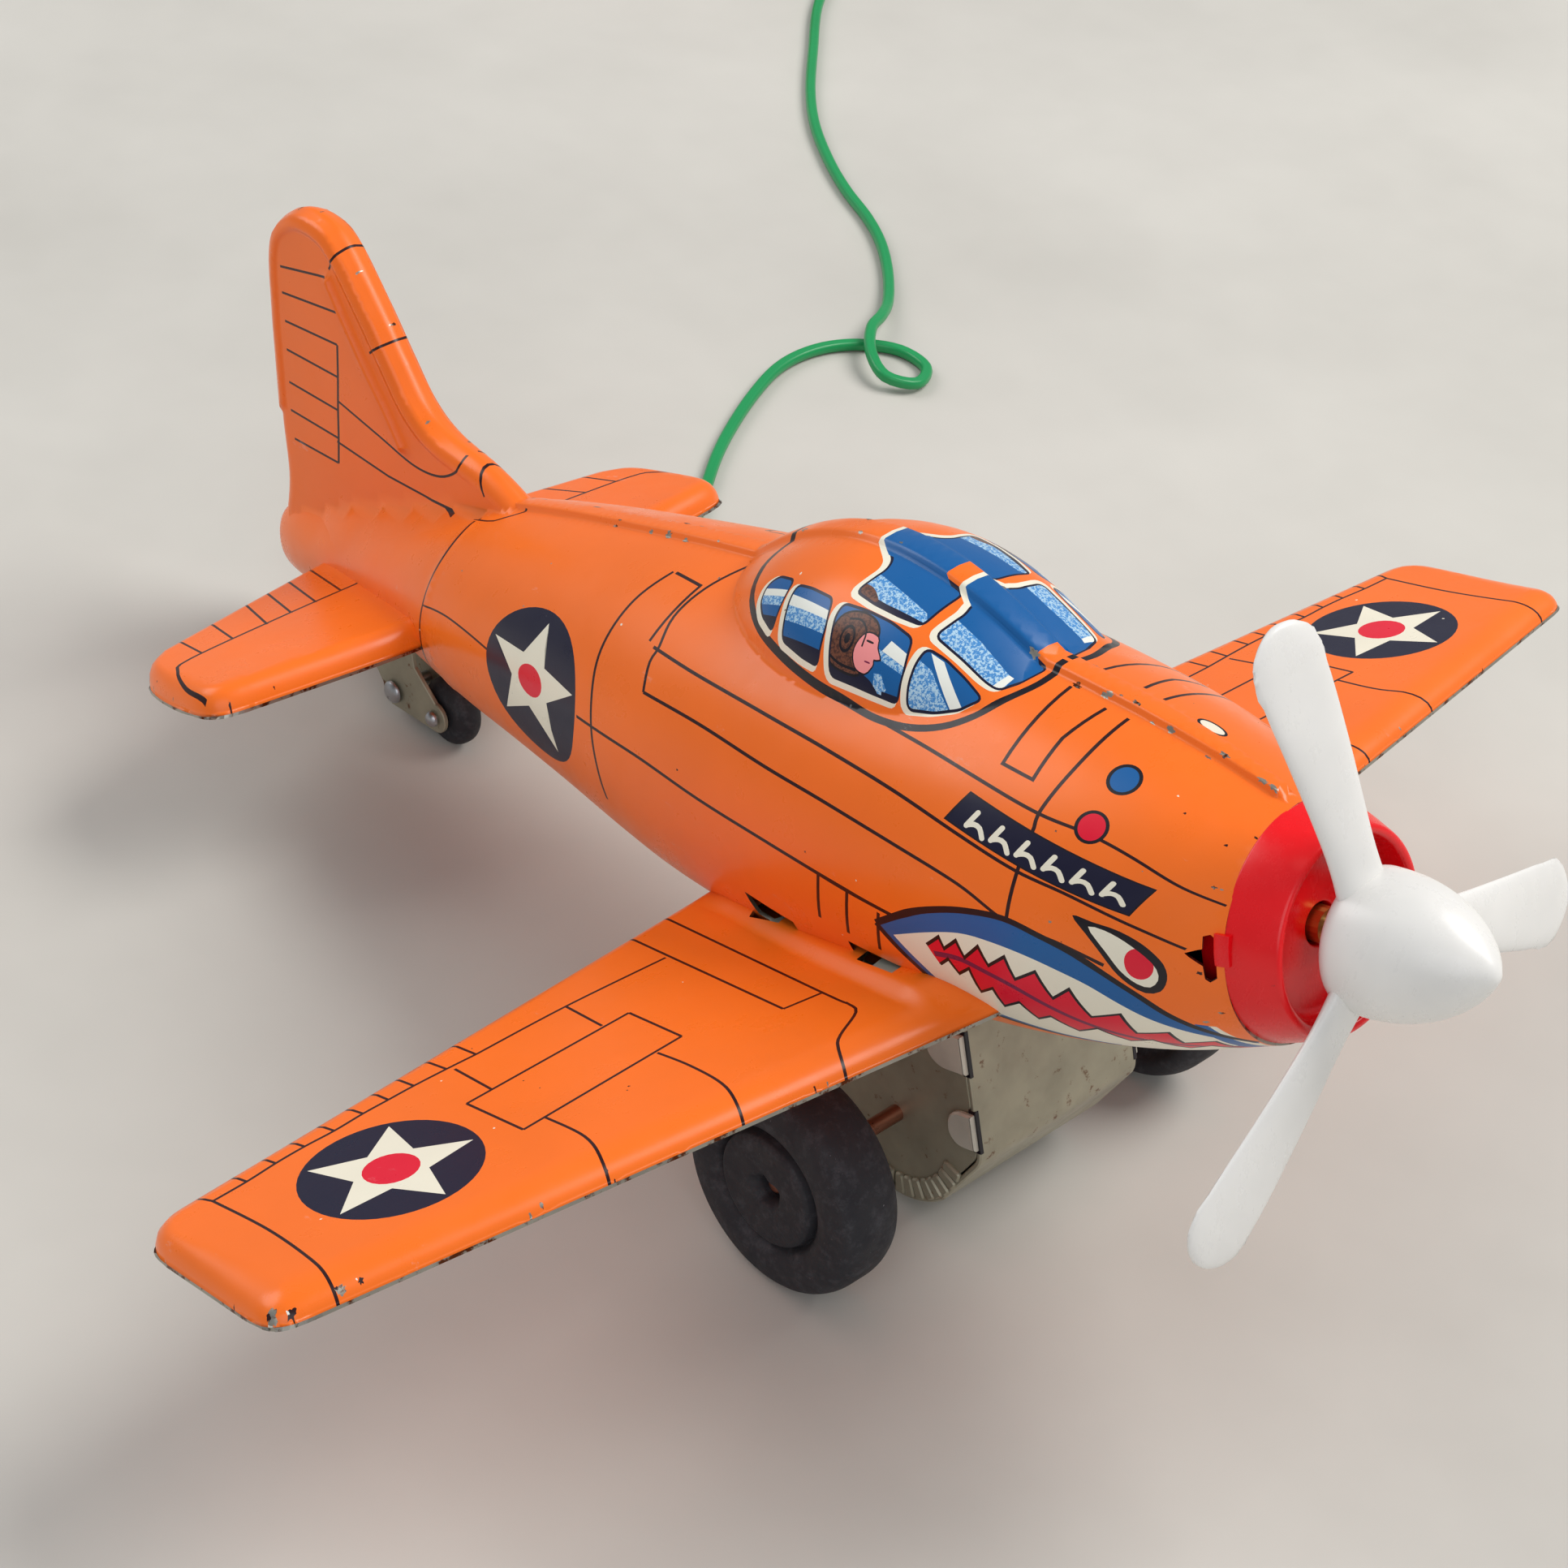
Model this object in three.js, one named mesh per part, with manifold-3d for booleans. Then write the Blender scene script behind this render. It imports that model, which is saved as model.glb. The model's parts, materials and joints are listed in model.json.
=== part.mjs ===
// Tinplate remote-control fighter plane: two fuselage half shells with the fin pressed in, built-up
// wings, a moulded propeller driven directly by the motor, and a worm-driven road axle in a tin
// gearbox under the belly. The toy stands on its three wheels; its two-core lead runs along the
// ground to a hand-held battery box. Millimetres, +Z up, nose towards -Y, starboard wing at -X.
// Origin: middle of the plane's footprint, on the ground.
//
// The plane itself is drawn in airframe coordinates: propeller axis along Y through the origin,
// propeller disc at y = 0. The airframe group then tips it nose-up until all wheels touch.
import * as THREE from 'three';
import { mergeVertices } from 'three/addons/utils/BufferGeometryUtils.js';
import Module from 'manifold-3d';

const wasm = await Module();
wasm.setup();

// ---------------------------------------------------------------- driving dimensions
const SHEET = 0.8;                 // tinplate, drawn thick enough to carry its own collision
const GAP = 0.3;                   // air between pieces that touch
const PITCH = 20.6;                // degrees nose-up on the ground
const HULL_POWER = 2.15;           // superellipse power of the fuselage section
const HULL_CREST = 0.10;           // how far the section is pinched towards its top seam

const CANOPY = { y: 72, length: 26, height: 7.7, halfAngle: 38.5, outlineY: 69.5, outlineLength: 28.5 };

const WING = { rootX: 18, tipX: 119.5, cornerX: 112, top: -8.6, edge: -13.9, roll: 5 };
const WING_LE = { root: 38.5, tip: 55.5 };
const WING_TE = { root: 95.5, tip: 85.8 };
const TAIL = { rootX: 3, tipX: 50, cornerX: 44, top: 15.4, edge: 11.6, roll: 3 };
const TAIL_LE = { root: 163.2, tip: 168.4 };
const TAIL_TE = { root: 199.5, tip: 188.0 };

const FIN_HALF = 2.7;
const RING = { front: 2.1, back: 8.2, frontR: 13.2, backR: 14.8, boreR: 11.2, wall: 6.6, spigotEnd: 13.5 };
const SHAFT_R = 1.0;
const PROP = { radius: 43.1, phase: -12.3, hubR: 9.7, tip: -19, back: 1.6, blades: 3 };

const AXLE = { y: 70.4, z: -38.9, r: 1.2, half: 37.6 };
const WHEEL = { r: 16, inner: 29.2, outer: 39.6, stepR: 8.2, boreR: 1.5 };
const TAIL_WHEEL = { y: 180, z: -8.8, r: 5.6, half: 2.4, pinR: 0.8 };
const TAIL_RIVET = { y: 189.6, z: -6.2, r: 1.1, headR: 1.9 };

const BOX = { half: 15.3, front: 54.6, top: -8, cheekTop: 11, rear: 84.6, sumpR: 13.2, cornerR: 4 };
const MOTOR = { r: 11, front: 21.5, rear: 48.5, bossR: 3.2 };
const MODULE = 1;
const WORM = { from: 58.5, to: 77.5, r: 2.6, tooth: 0.9 };
const WORM_WHEEL = { y: 68, z: -14.6, teeth: 22 };
const PINION_TEETH = 8;
const IDLER = { y: 73.26, z: -24.2, teeth: 14 };
const AXLE_TEETH = 16;
const GEAR_X = [3.2, 6.2];         // the spur gears' plane, beside the worm wheel

const LEAD_R = 1.1;
const GROMMET = { y: 112, r: 3.6, holeR: 2.8, neckR: 2.5, boreR: 1.4, mouth: -16.6 };
const COIL = { x: 245, y: 256, inner: 6.6, outer: 18.5, height: 4.9 };
const CASE = { x: 262, y: 319, half: 31, halfLength: 33, height: 27, lidTop: 31, lidSkirt: 21, entry: 5 };
const CELL = { r: 13.1, length: 50, spread: 14.2, z: 14.6, nubR: 2.6 };
const BUTTON = { r: 7, y: -14, travel: 2.5, rise: 5 };

// ---------------------------------------------------------------- materials
const finish = (color, roughness, metalness) => new THREE.MeshStandardMaterial({ color, roughness, metalness });
const MATERIAL = {
  orange: finish('#f47a32', 0.38, 0.1),
  drab: finish('#7b7962', 0.5, 0.4),
  red: finish('#e3101f', 0.3, 0),
  white: finish('#efece6', 0.35, 0),
  rubber: finish('#26262b', 0.85, 0),
  steel: finish('#b9bcc0', 0.3, 1),
  copper: finish('#b4826e', 0.35, 1),
  brass: finish('#c9a24c', 0.35, 1),
  nylon: finish('#e8e2d0', 0.5, 0),
  black: finish('#1d1d20', 0.6, 0),
  lead: finish('#2fa05f', 0.45, 0),
  cell: finish('#34589a', 0.45, 0.2),
  caseRed: finish('#a8231f', 0.4, 0.2),
};

// ---------------------------------------------------------------- solids
const SIDES = [['starboard', -1], ['port', 1]];
const radians = THREE.MathUtils.degToRad;
const point = (x, y, z) => new THREE.Vector3(x, y, z);

/** A three.js geometry as a manifold solid, merged, with its faces pointing outwards. */
function solid(geometry) {
  const bare = new THREE.BufferGeometry();
  bare.setAttribute('position', geometry.attributes.position.clone());
  if (geometry.index) bare.setIndex(geometry.index);
  const merged = mergeVertices(bare, 1e-4);
  const xyz = merged.attributes.position.array;
  const index = merged.index.array;
  const corner = (i) => new THREE.Vector3().fromArray(xyz, 3 * index[i]);
  let volume = 0;
  const kept = [];
  for (let i = 0; i < index.length; i += 3) {
    const [a, b, c] = [index[i], index[i + 1], index[i + 2]];
    if (a === b || b === c || a === c) continue;
    kept.push([a, b, c]);
    volume += corner(i).dot(corner(i + 1).cross(corner(i + 2)));
  }
  const triVerts = kept.flatMap(([a, b, c]) => (volume < 0 ? [a, c, b] : [a, b, c]));
  return new wasm.Manifold(new wasm.Mesh({
    numProp: 3, vertProperties: new Float32Array(xyz), triVerts: new Uint32Array(triVerts),
  }));
}

function geometryOf(manifold) {
  const mesh = manifold.getMesh();
  const geometry = new THREE.BufferGeometry();
  geometry.setAttribute('position', new THREE.BufferAttribute(new Float32Array(mesh.vertProperties), 3));
  geometry.setIndex(new THREE.BufferAttribute(new Uint32Array(mesh.triVerts), 1));
  geometry.computeVertexNormals();
  return geometry;
}

const join = (first, ...rest) => rest.reduce((sum, next) => sum.add(next), first);
const cut = (first, ...rest) => rest.reduce((left, next) => left.subtract(next), first);

/** A box from its two corners. */
function block(low, high) {
  const size = high.map((v, i) => v - low[i]);
  const geometry = new THREE.BoxGeometry(...size);
  geometry.translate(...low.map((v, i) => v + size[i] / 2));
  return solid(geometry);
}

/** A turned piece about the Y axis; profile rows are [radius, y] and start and end on the axis
 *  or close on themselves. */
function turnedY(profile, segments = 24, y = 0, x = 0, z = 0) {
  const geometry = new THREE.LatheGeometry(profile.map(([r, h]) => new THREE.Vector2(r, h)), segments);
  geometry.translate(x, y, z);
  return solid(geometry);
}

/** The same about the X axis: rows are [radius, x]. */
function turnedX(profile, segments, y, z) {
  const geometry = new THREE.LatheGeometry(profile.map(([r, h]) => new THREE.Vector2(r, h)), segments);
  geometry.rotateZ(-Math.PI / 2);
  geometry.translate(0, y, z);
  return solid(geometry);
}

/** The same about the Z axis: rows are [radius, z]. */
function turnedZ(profile, segments, x, y) {
  const geometry = new THREE.LatheGeometry(profile.map(([r, h]) => new THREE.Vector2(r, h)), segments);
  geometry.rotateX(Math.PI / 2);
  geometry.translate(x, y, 0);
  return solid(geometry);
}

const rodProfile = (r, from, to) => [[0, from], [r, from], [r, to], [0, to]];
const tubeProfile = (r, bore, from, to) => [[bore, from], [r, from], [r, to], [bore, to], [bore, from]];
const rodX = (r, from, to, y, z, segments = 16) => turnedX(rodProfile(r, from, to), segments, y, z);
const rodY = (r, from, to, x = 0, z = 0, segments = 16) => turnedY(rodProfile(r, from, to), segments, 0, x, z);

/** An outline in the Y-Z plane, rows [y, z], extruded along X. */
function plateX(outline, from, to) {
  const shape = outline instanceof THREE.Shape ? outline : new THREE.Shape(outline.map(([u, v]) => new THREE.Vector2(u, v)));
  const geometry = new THREE.ExtrudeGeometry(shape, { depth: to - from, bevelEnabled: false, curveSegments: 5 });
  geometry.applyMatrix4(new THREE.Matrix4().makeBasis(point(0, 1, 0), point(0, 0, 1), point(1, 0, 0)));
  geometry.translate(from, 0, 0);
  return solid(geometry);
}

/** A body lofted through rings of equally many points, closed by a fan at each end. */
function loft(rings) {
  const count = rings[0].length;
  const middle = (ring) => ring.reduce((sum, p) => sum.add(p), point(0, 0, 0)).divideScalar(count);
  const vertices = [...rings.flat(), middle(rings[0]), middle(rings.at(-1))];
  const faces = [];
  for (let i = 0; i + 1 < rings.length; i++) {
    for (let j = 0; j < count; j++) {
      const k = (j + 1) % count;
      const [a, b, c, d] = [i * count + j, i * count + k, (i + 1) * count + k, (i + 1) * count + j];
      faces.push(a, b, c, a, c, d);
    }
  }
  const [front, back] = [rings.length * count, rings.length * count + 1];
  for (let j = 0; j < count; j++) {
    const k = (j + 1) % count;
    faces.push(front, k, j, back, (rings.length - 1) * count + j, (rings.length - 1) * count + k);
  }
  const geometry = new THREE.BufferGeometry();
  geometry.setAttribute('position', new THREE.Float32BufferAttribute(vertices.flatMap((p) => p.toArray()), 3));
  geometry.setIndex(faces);
  return solid(geometry);
}

// ---------------------------------------------------------------- fuselage surface
// Stations along the fuselage: y, top, bottom, half width, height of the widest line.
const STATIONS = [
  [8.5, 15.3, -15.2, 15.2, 0.0], [20.5, 19.8, -18.4, 21.0, 0.0], [34, 23.6, -20.4, 25.0, 0.6],
  [52, 27.4, -21.8, 27.2, 2.2], [70, 30.0, -21.6, 28.0, 4.2], [86, 31.2, -19.4, 27.8, 6.2],
  [101, 31.6, -16.4, 26.8, 7.6], [111, 31.6, -13.4, 25.6, 8.8], [126, 31.2, -9.0, 23.0, 10.8],
  [140, 30.6, -5.2, 20.6, 12.4], [154, 29.4, -1.8, 18.0, 13.8], [172, 26.8, 2.6, 13.2, 14.6],
  [190, 23.8, 6.2, 8.6, 14.8], [207, 20.8, 8.8, 4.4, 14.6], [218.5, 16.4, 11.6, 1.2, 14.0],
];

/** The fuselage section at y: a smooth curve through the stations. */
function section(y) {
  const last = STATIONS.length - 1;
  const at = Math.min(last - 1, Math.max(0, STATIONS.findIndex((row) => row[0] > y) - 1));
  const i = y >= STATIONS[last][0] ? last - 1 : at;
  const [a, b] = [STATIONS[i], STATIONS[i + 1]];
  const span = b[0] - a[0];
  const t = Math.min(1, Math.max(0, (y - a[0]) / span));
  const slope = (k, column) => {
    const [low, high] = [STATIONS[Math.max(0, k - 1)], STATIONS[Math.min(last, k + 1)]];
    return (high[column] - low[column]) / (high[0] - low[0]);
  };
  const [top, bottom, half, mid] = [1, 2, 3, 4].map((column) => (
    (2 * t ** 3 - 3 * t ** 2 + 1) * a[column] + (t ** 3 - 2 * t ** 2 + t) * span * slope(i, column)
    + (-2 * t ** 3 + 3 * t ** 2) * b[column] + (t ** 3 - t ** 2) * span * slope(i + 1, column)));
  return { top, bottom, half, mid };
}

/** How far the canopy bulges above the fuselage, at y and at an angle down from the top seam. */
function canopyRise(y, angle) {
  const along = 1 - ((y - CANOPY.y) / CANOPY.length) ** 2;
  const outline = 1 - ((y - CANOPY.outlineY) / CANOPY.outlineLength) ** 2;
  if (along <= 0 || outline <= 0) return 0;
  const across = 1 - (angle / (radians(CANOPY.halfAngle) * Math.sqrt(outline))) ** 2;
  return across <= 0 ? 0 : CANOPY.height * along * across ** 0.6;
}

/** A point of the fuselage skin, grown by an offset: angle 0 is the top seam, pi the bottom. */
function skinPoint(y, angle, side, offset, canopy = true) {
  const { top, bottom, half, mid } = section(y);
  const [c, s] = [Math.cos(angle), Math.sin(angle)];
  const power = 2 / HULL_POWER;
  const x = (half + offset) * Math.abs(s) ** power;
  const crown = Math.abs(c) ** power - HULL_CREST * Math.abs(s * c);
  const z = c >= 0 ? mid + (top + offset - mid) * crown : mid - (mid - bottom + offset) * Math.abs(c) ** power;
  const rise = canopy ? canopyRise(y, angle) : 0;
  return point(side * (x + rise * s), y, z + rise * c);
}

/** The fuselage as a full body between two stations. */
function fuselageBody(from, to, offset, canopy = true, steps = 20, around = 10) {
  const rings = [];
  for (let i = 0; i <= steps; i++) {
    const y = from + (to - from) * (i / steps);
    const ring = [];
    for (let j = 0; j <= around; j++) ring.push(skinPoint(y, Math.PI * (j / around), -1, offset, canopy));
    for (let j = around - 1; j > 0; j--) ring.push(skinPoint(y, Math.PI * (j / around), 1, offset, canopy));
    rings.push(ring);
  }
  return loft(rings);
}

const [NOSE, STERN] = [STATIONS[0][0], STATIONS.at(-1)[0]];
const outerBody = fuselageBody(NOSE, STERN, 0);
const innerBody = fuselageBody(NOSE - 5, 206, -SHEET);
const keepOut = fuselageBody(NOSE - 2, STERN + 1, GAP, false);

// ---------------------------------------------------------------- fuselage half shells
const FIN_OUTLINE = [
  [150, 31], [158.5, 35.2], [167, 38.6], [171.5, 42.4], [178.3, 56.5], [183.4, 65.9], [187.5, 69.4],
  [193.4, 70.6], [199.2, 68.4], [202.4, 64], [206.8, 46.8], [210.6, 27], [214, 20.5], [216, 14], [190, 17], [165, 22],
];

function finBlade() {
  const shape = new THREE.Shape(FIN_OUTLINE.map(([y, z]) => new THREE.Vector2(y, z)));
  const bevel = 1.1;
  const geometry = new THREE.ExtrudeGeometry(shape, {
    depth: 2 * (FIN_HALF - bevel), bevelThickness: bevel, bevelSize: bevel, bevelOffset: -bevel, bevelSegments: 2,
  });
  geometry.applyMatrix4(new THREE.Matrix4().makeBasis(point(0, 1, 0), point(0, 0, 1), point(1, 0, 0)));
  geometry.translate(bevel - FIN_HALF, 0, 0);
  return solid(geometry);
}

const TAB_Y = [[53.5, 61.5], [72.5, 80.5]];      // the wing's two fixing tabs
const TAB_Z = [-11.6, -11.0];
const NOSE_SLOT = { y: 10.9, z: 1.4, wide: 3, tall: 6 };

function fuselageHalf(side) {
  const shell = cut(join(outerBody, cut(finBlade(), innerBody)), innerBody);
  const farSide = block([side > 0 ? -60 : -GAP / 2, -10, -60], [side > 0 ? GAP / 2 : 60, 240, 90]);
  const gearboxMouth = block([-BOX.half - 0.9, BOX.front - 0.8, -40], [BOX.half + 0.9, BOX.rear + 0.8, -10]);
  const slots = TAB_Y.map(([from, to]) => block(
    [side > 0 ? 20 : -34, from - 0.5, TAB_Z[0] - 0.5], [side > 0 ? 34 : -20, to + 0.5, TAB_Z[1] + 0.5]));
  const reach = side > 0 ? [10, 24] : [-24, -10];
  const { y, z, wide, tall } = NOSE_SLOT;
  const noseSlot = join(
    block([reach[0], y - wide / 2, z - 1], [reach[1], y + wide / 2, z + 1]),
    block([reach[0], y - 1.6, z - tall / 2], [reach[1], y - 0.2, z + tall / 2]));
  const leadHole = turnedZ(rodProfile(GROMMET.holeR, -30, 0), 16, 0, GROMMET.y);
  return cut(shell, farSide, gearboxMouth, ...slots, noseSlot, leadHole);
}

// ---------------------------------------------------------------- wings and tailplanes
/** An aerofoil-edged panel as a loft: rolled leading and trailing edges, flat underneath. */
function panelBody(panel, le, te, side, inset, floor) {
  const rings = [];
  const depth = panel.tipX - panel.cornerX;
  const stops = [panel.rootX, (panel.rootX + panel.cornerX) / 2, panel.cornerX];
  const tips = [0.45, 0.8, 1].map((t) => panel.cornerX + (depth - inset) * t);
  for (const x of [...stops, ...tips]) {
    const span = (x - panel.rootX) / (panel.tipX - panel.rootX);
    const round = x <= panel.cornerX ? 0 : 1 - Math.sqrt(1 - Math.min(1, (x - panel.cornerX) / (depth - inset)) ** 2);
    const front = le.root + (le.tip - le.root) * span + inset + round * 5;
    const back = te.root + (te.tip - te.root) * span - inset - round * 5;
    const top = panel.top - inset - (x > panel.cornerX ? round * 1.2 : 0);
    const edgePoint = (y, inward, bend) => point(
      side * x, y + inward * (1 - Math.cos(bend)), panel.edge + (top - panel.edge) * Math.sin(bend));
    const ring = [0, 0.3, 0.65, 1].map((t) => edgePoint(front, panel.roll, t * Math.PI / 2));
    ring.push(...[1, 0.5, 0].map((t) => edgePoint(back, -panel.roll / 2, t * Math.PI / 2)));
    if (floor !== undefined) ring.push(point(side * x, back, floor), point(side * x, front, floor));
    rings.push(ring);
  }
  return loft(rings);
}

function wingUpper(side) {
  const outer = panelBody(WING, WING_LE, WING_TE, side, 0);
  const hollow = panelBody(WING, WING_LE, WING_TE, side, SHEET, WING.edge - 3);
  const skin = cut(outer, hollow, keepOut);
  const tabs = TAB_Y.map(([from, to]) => {
    const [outerX, innerX] = [34.5, 23];
    const xs = side > 0 ? [innerX, outerX] : [-outerX, -innerX];
    return block([xs[0], from, TAB_Z[0]], [xs[1], to, TAB_Z[1]]);
  });
  const riser = TAB_Y.map(([from, to]) => {
    const xs = side > 0 ? [33.7, 34.5] : [-34.5, -33.7];
    return block([xs[0], from, TAB_Z[0]], [xs[1], to, WING.top - SHEET / 2]);
  });
  return join(skin, ...tabs, ...riser);
}

function wingLower(side) {
  const pan = panelBody(WING, WING_LE, WING_TE, side, SHEET + GAP);
  const above = block([-130, 20, WING.edge + SHEET], [130, 110, 10]);
  return cut(pan, above, keepOut);
}

function tailplane(side) {
  const outer = panelBody(TAIL, TAIL_LE, TAIL_TE, side, 0);
  const hollow = panelBody(TAIL, TAIL_LE, TAIL_TE, side, SHEET, TAIL.edge - 3);
  return cut(outer, hollow, keepOut);
}

// ---------------------------------------------------------------- nose ring and propeller
function noseRing() {
  const { front, back, frontR, backR, boreR, wall, spigotEnd } = RING;
  const body = turnedY([
    [2.6, wall], [boreR, wall], [boreR, front + 0.6], [boreR + 0.5, front], [frontR - 0.5, front],
    [frontR, front + 0.6], [backR, back - 1], [backR, back], [13.6, back], [13.6, spigotEnd],
    [12.4, spigotEnd], [12.4, back + 0.2], [2.6, back + 0.2], [2.6, wall],
  ], 24);
  const { y, z } = NOSE_SLOT;
  const ears = SIDES.map(([, side]) => {
    const xs = side > 0 ? [14, 18.2] : [-18.2, -14];
    return block([xs[0], back - 1.2, z - 2.2], [xs[1], y - 0.9, z + 2.2]);
  });
  return join(body, ...ears.map((ear) => ear.intersect(fuselageBody(5, 14, 1.3, false, 4, 14)).subtract(
    fuselageBody(back + 0.05, 14, GAP, false, 4, 14))));
}

const shaftBush = () => turnedY(tubeProfile(2.3, SHAFT_R + 0.15, RING.wall - 1.4, RING.back + 3.4), 20);

/** One blade from hub to tip along +Z, as a loft of flat ellipses turning with the radius. */
function blade() {
  const rows = [[4, 6.4, 2.6, 38], [11, 5.6, 2.4, 34], [18, 6.6, 2.1, 28], [27, 8.2, 1.8, 22],
    [35, 9.4, 1.6, 18], [39.5, 9.4, 1.5, 16], [42, 7.2, 1.2, 15], [PROP.radius, 3.4, 0.8, 15]];
  return loft(rows.map(([radius, chord, thick, turn]) => {
    const ring = [];
    for (let k = 0; k < 8; k++) {
      const angle = (k / 8) * 2 * Math.PI;
      const local = point((chord / 2) * Math.cos(angle), (thick / 2) * Math.sin(angle), 0);
      local.applyAxisAngle(point(0, 0, 1), radians(turn));
      ring.push(local.add(point(0, 0, radius)));
    }
    return ring;
  }));
}

function propeller() {
  const { hubR, tip, back, phase, blades } = PROP;
  const nose = [1, 0.97, 0.87, 0.7, 0.45];
  const profile = [[0, back], [hubR * 0.93, back], [hubR, back - 1.2],
    ...nose.map((share, k) => [hubR * share, -2 + (tip + 2) * (k / nose.length)]), [0, tip]];
  const spinner = turnedY(profile, 20);
  const bore = rodY(SHAFT_R + 0.15, -9.5, back + 1);
  const solids = Array.from({ length: blades }, (_, k) => (
    blade().rotate([0, phase + k * 360 / blades, 0])));
  return cut(join(spinner, ...solids), bore);
}

// ---------------------------------------------------------------- gear train
/** Tooth outline of a spur gear about the X axis, with one tooth pointing along an angle. */
function gear(teeth, tooth, bore, y, z, from, to, face = MODULE) {
  const pitchR = teeth * face / 2;
  const shape = new THREE.Shape();
  const step = 2 * Math.PI / teeth;
  for (let k = 0; k < teeth; k++) {
    const middle = tooth + k * step;
    const corners = [[pitchR - 1.05 * face, -0.3], [pitchR + 0.8 * face, -0.11], [pitchR + 0.8 * face, 0.11],
      [pitchR - 1.05 * face, 0.3]];
    corners.forEach(([r, share], c) => {
      const angle = middle + share * step;
      const [u, v] = [r * Math.cos(angle), r * Math.sin(angle)];
      if (k === 0 && c === 0) shape.moveTo(u, v);
      else shape.lineTo(u, v);
    });
  }
  const wheel = plateX(shape, from, to).translate([0, y, z]);
  return cut(wheel, rodX(bore, from - 1, to + 1, y, z));
}

/** The angle of a tooth of gear B that drops into a gap of gear A, whose tooth angle is known. */
function meshAngle(a, b, toothA, teethA, teethB) {
  const line = Math.atan2(b.z - a.z, b.y - a.y);
  const share = (line - toothA) / (2 * Math.PI / teethA);
  return line + Math.PI + (share - Math.floor(share) - 0.5) * (2 * Math.PI / teethB);
}

const STUB_R = 1.0;
const wheelTooth = Math.PI / 2;
const pinionTooth = 0;
const idlerTooth = meshAngle(WORM_WHEEL, IDLER, pinionTooth, PINION_TEETH, IDLER.teeth);
const axleTooth = meshAngle(IDLER, AXLE, idlerTooth, IDLER.teeth, AXLE_TEETH);

/** The worm: one right-hand thread about the Y axis, a space facing the wheel's upright tooth. */
function worm() {
  const pitch = Math.PI * MODULE;
  const [around, perTurn] = [8, 4];
  const steps = Math.round((WORM.to - WORM.from) / pitch * perTurn);
  const rings = [];
  for (let i = 0; i <= steps; i++) {
    const y = WORM.from + (WORM.to - WORM.from) * (i / steps);
    const ring = [];
    for (let j = 0; j < around; j++) {
      const angle = (j / around) * 2 * Math.PI;
      const turns = (y - WORM_WHEEL.y) / pitch + (angle - Math.PI * 1.5) / (2 * Math.PI);
      const share = Math.abs(turns - Math.round(turns));
      const r = WORM.r - WORM.tooth + 2 * WORM.tooth * THREE.MathUtils.smoothstep(share, 0.28, 0.46);
      ring.push(point(r * Math.cos(angle), y, r * Math.sin(angle)));
    }
    rings.push(ring);
  }
  return cut(loft(rings), rodY(SHAFT_R + 0.15, WORM.from - 1, WORM.to + 1));
}

function wormWheel() {
  const wheel = gear(WORM_WHEEL.teeth, wheelTooth, STUB_R + 0.15, WORM_WHEEL.y, WORM_WHEEL.z, -1.4, 1.4);
  const pinion = gear(PINION_TEETH, pinionTooth, STUB_R + 0.15, WORM_WHEEL.y, WORM_WHEEL.z, GEAR_X[0], GEAR_X[1]);
  const neck = turnedX(tubeProfile(2.6, STUB_R + 0.15, 1.2, GEAR_X[0] + 0.2), 16, WORM_WHEEL.y, WORM_WHEEL.z);
  return join(wheel, neck, pinion);
}

// ---------------------------------------------------------------- gearbox
/** The gearbox outline in the Y-Z plane, drawn inwards by an inset. */
function boxOutline(inset, top) {
  const [front, rear] = [BOX.front + inset, BOX.rear - inset];
  const shape = new THREE.Shape();
  const [r, corner] = [BOX.sumpR - inset, BOX.cornerR - inset];
  shape.moveTo(front, top);
  shape.lineTo(front, AXLE.z - 1);
  shape.absarc(front + corner, AXLE.z - 1, corner, Math.PI, Math.PI * 1.28, false);
  shape.absarc(AXLE.y, AXLE.z, r, Math.PI * 1.32, Math.PI * 2, false);
  shape.lineTo(rear, top);
  return shape;
}

function gearboxWrap() {
  const skin = cut(
    plateX(boxOutline(0, BOX.top), -BOX.half, BOX.half),
    plateX(boxOutline(SHEET, BOX.top + 5), -BOX.half - 1, BOX.half + 1));
  const tabs = SIDES.flatMap(([, side]) => [[-28.2, -22.4, 7.6], [-39.6, -34.2, 4.9]].map(([low, high, long]) => {
    const xs = side > 0 ? [BOX.half - 0.1, BOX.half + SHEET] : [-BOX.half - SHEET, -BOX.half + 0.1];
    return block([xs[0], BOX.front, low], [xs[1], BOX.front + long, high]);
  }));
  return join(skin, ...tabs);
}

function gearboxCheek(side) {
  const [from, to] = [BOX.half - GAP - SHEET, BOX.half - GAP];
  const xs = side > 0 ? [from, to] : [-to, -from];
  const plate = plateX(boxOutline(SHEET + GAP, BOX.cheekTop), xs[0], xs[1]);
  const pivots = side > 0 ? [WORM_WHEEL, IDLER] : [WORM_WHEEL];
  const holes = [rodX(AXLE.r + GAP, xs[0] - 1, xs[1] + 1, AXLE.y, AXLE.z),
    ...pivots.map((at) => rodX(STUB_R + GAP, xs[0] - 1, xs[1] + 1, at.y, at.z))];
  return cut(plate, ...holes);
}

/** The cross plate on top of the cheeks that carries the motor by its rear boss. */
function motorPlate() {
  const x = BOX.half - GAP - SHEET - GAP;
  const plate = block([-x, 49.6, -12], [x, 50.6, 12]);
  const feet = SIDES.map(([, side]) => {
    const xs = side > 0 ? [x - 1, x] : [-x, -x + 1];
    return block([xs[0], 50.4, 0.6], [xs[1], 60, 10]);
  });
  return cut(join(plate, ...feet), rodY(MOTOR.bossR + GAP, 48, 52));
}

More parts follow.
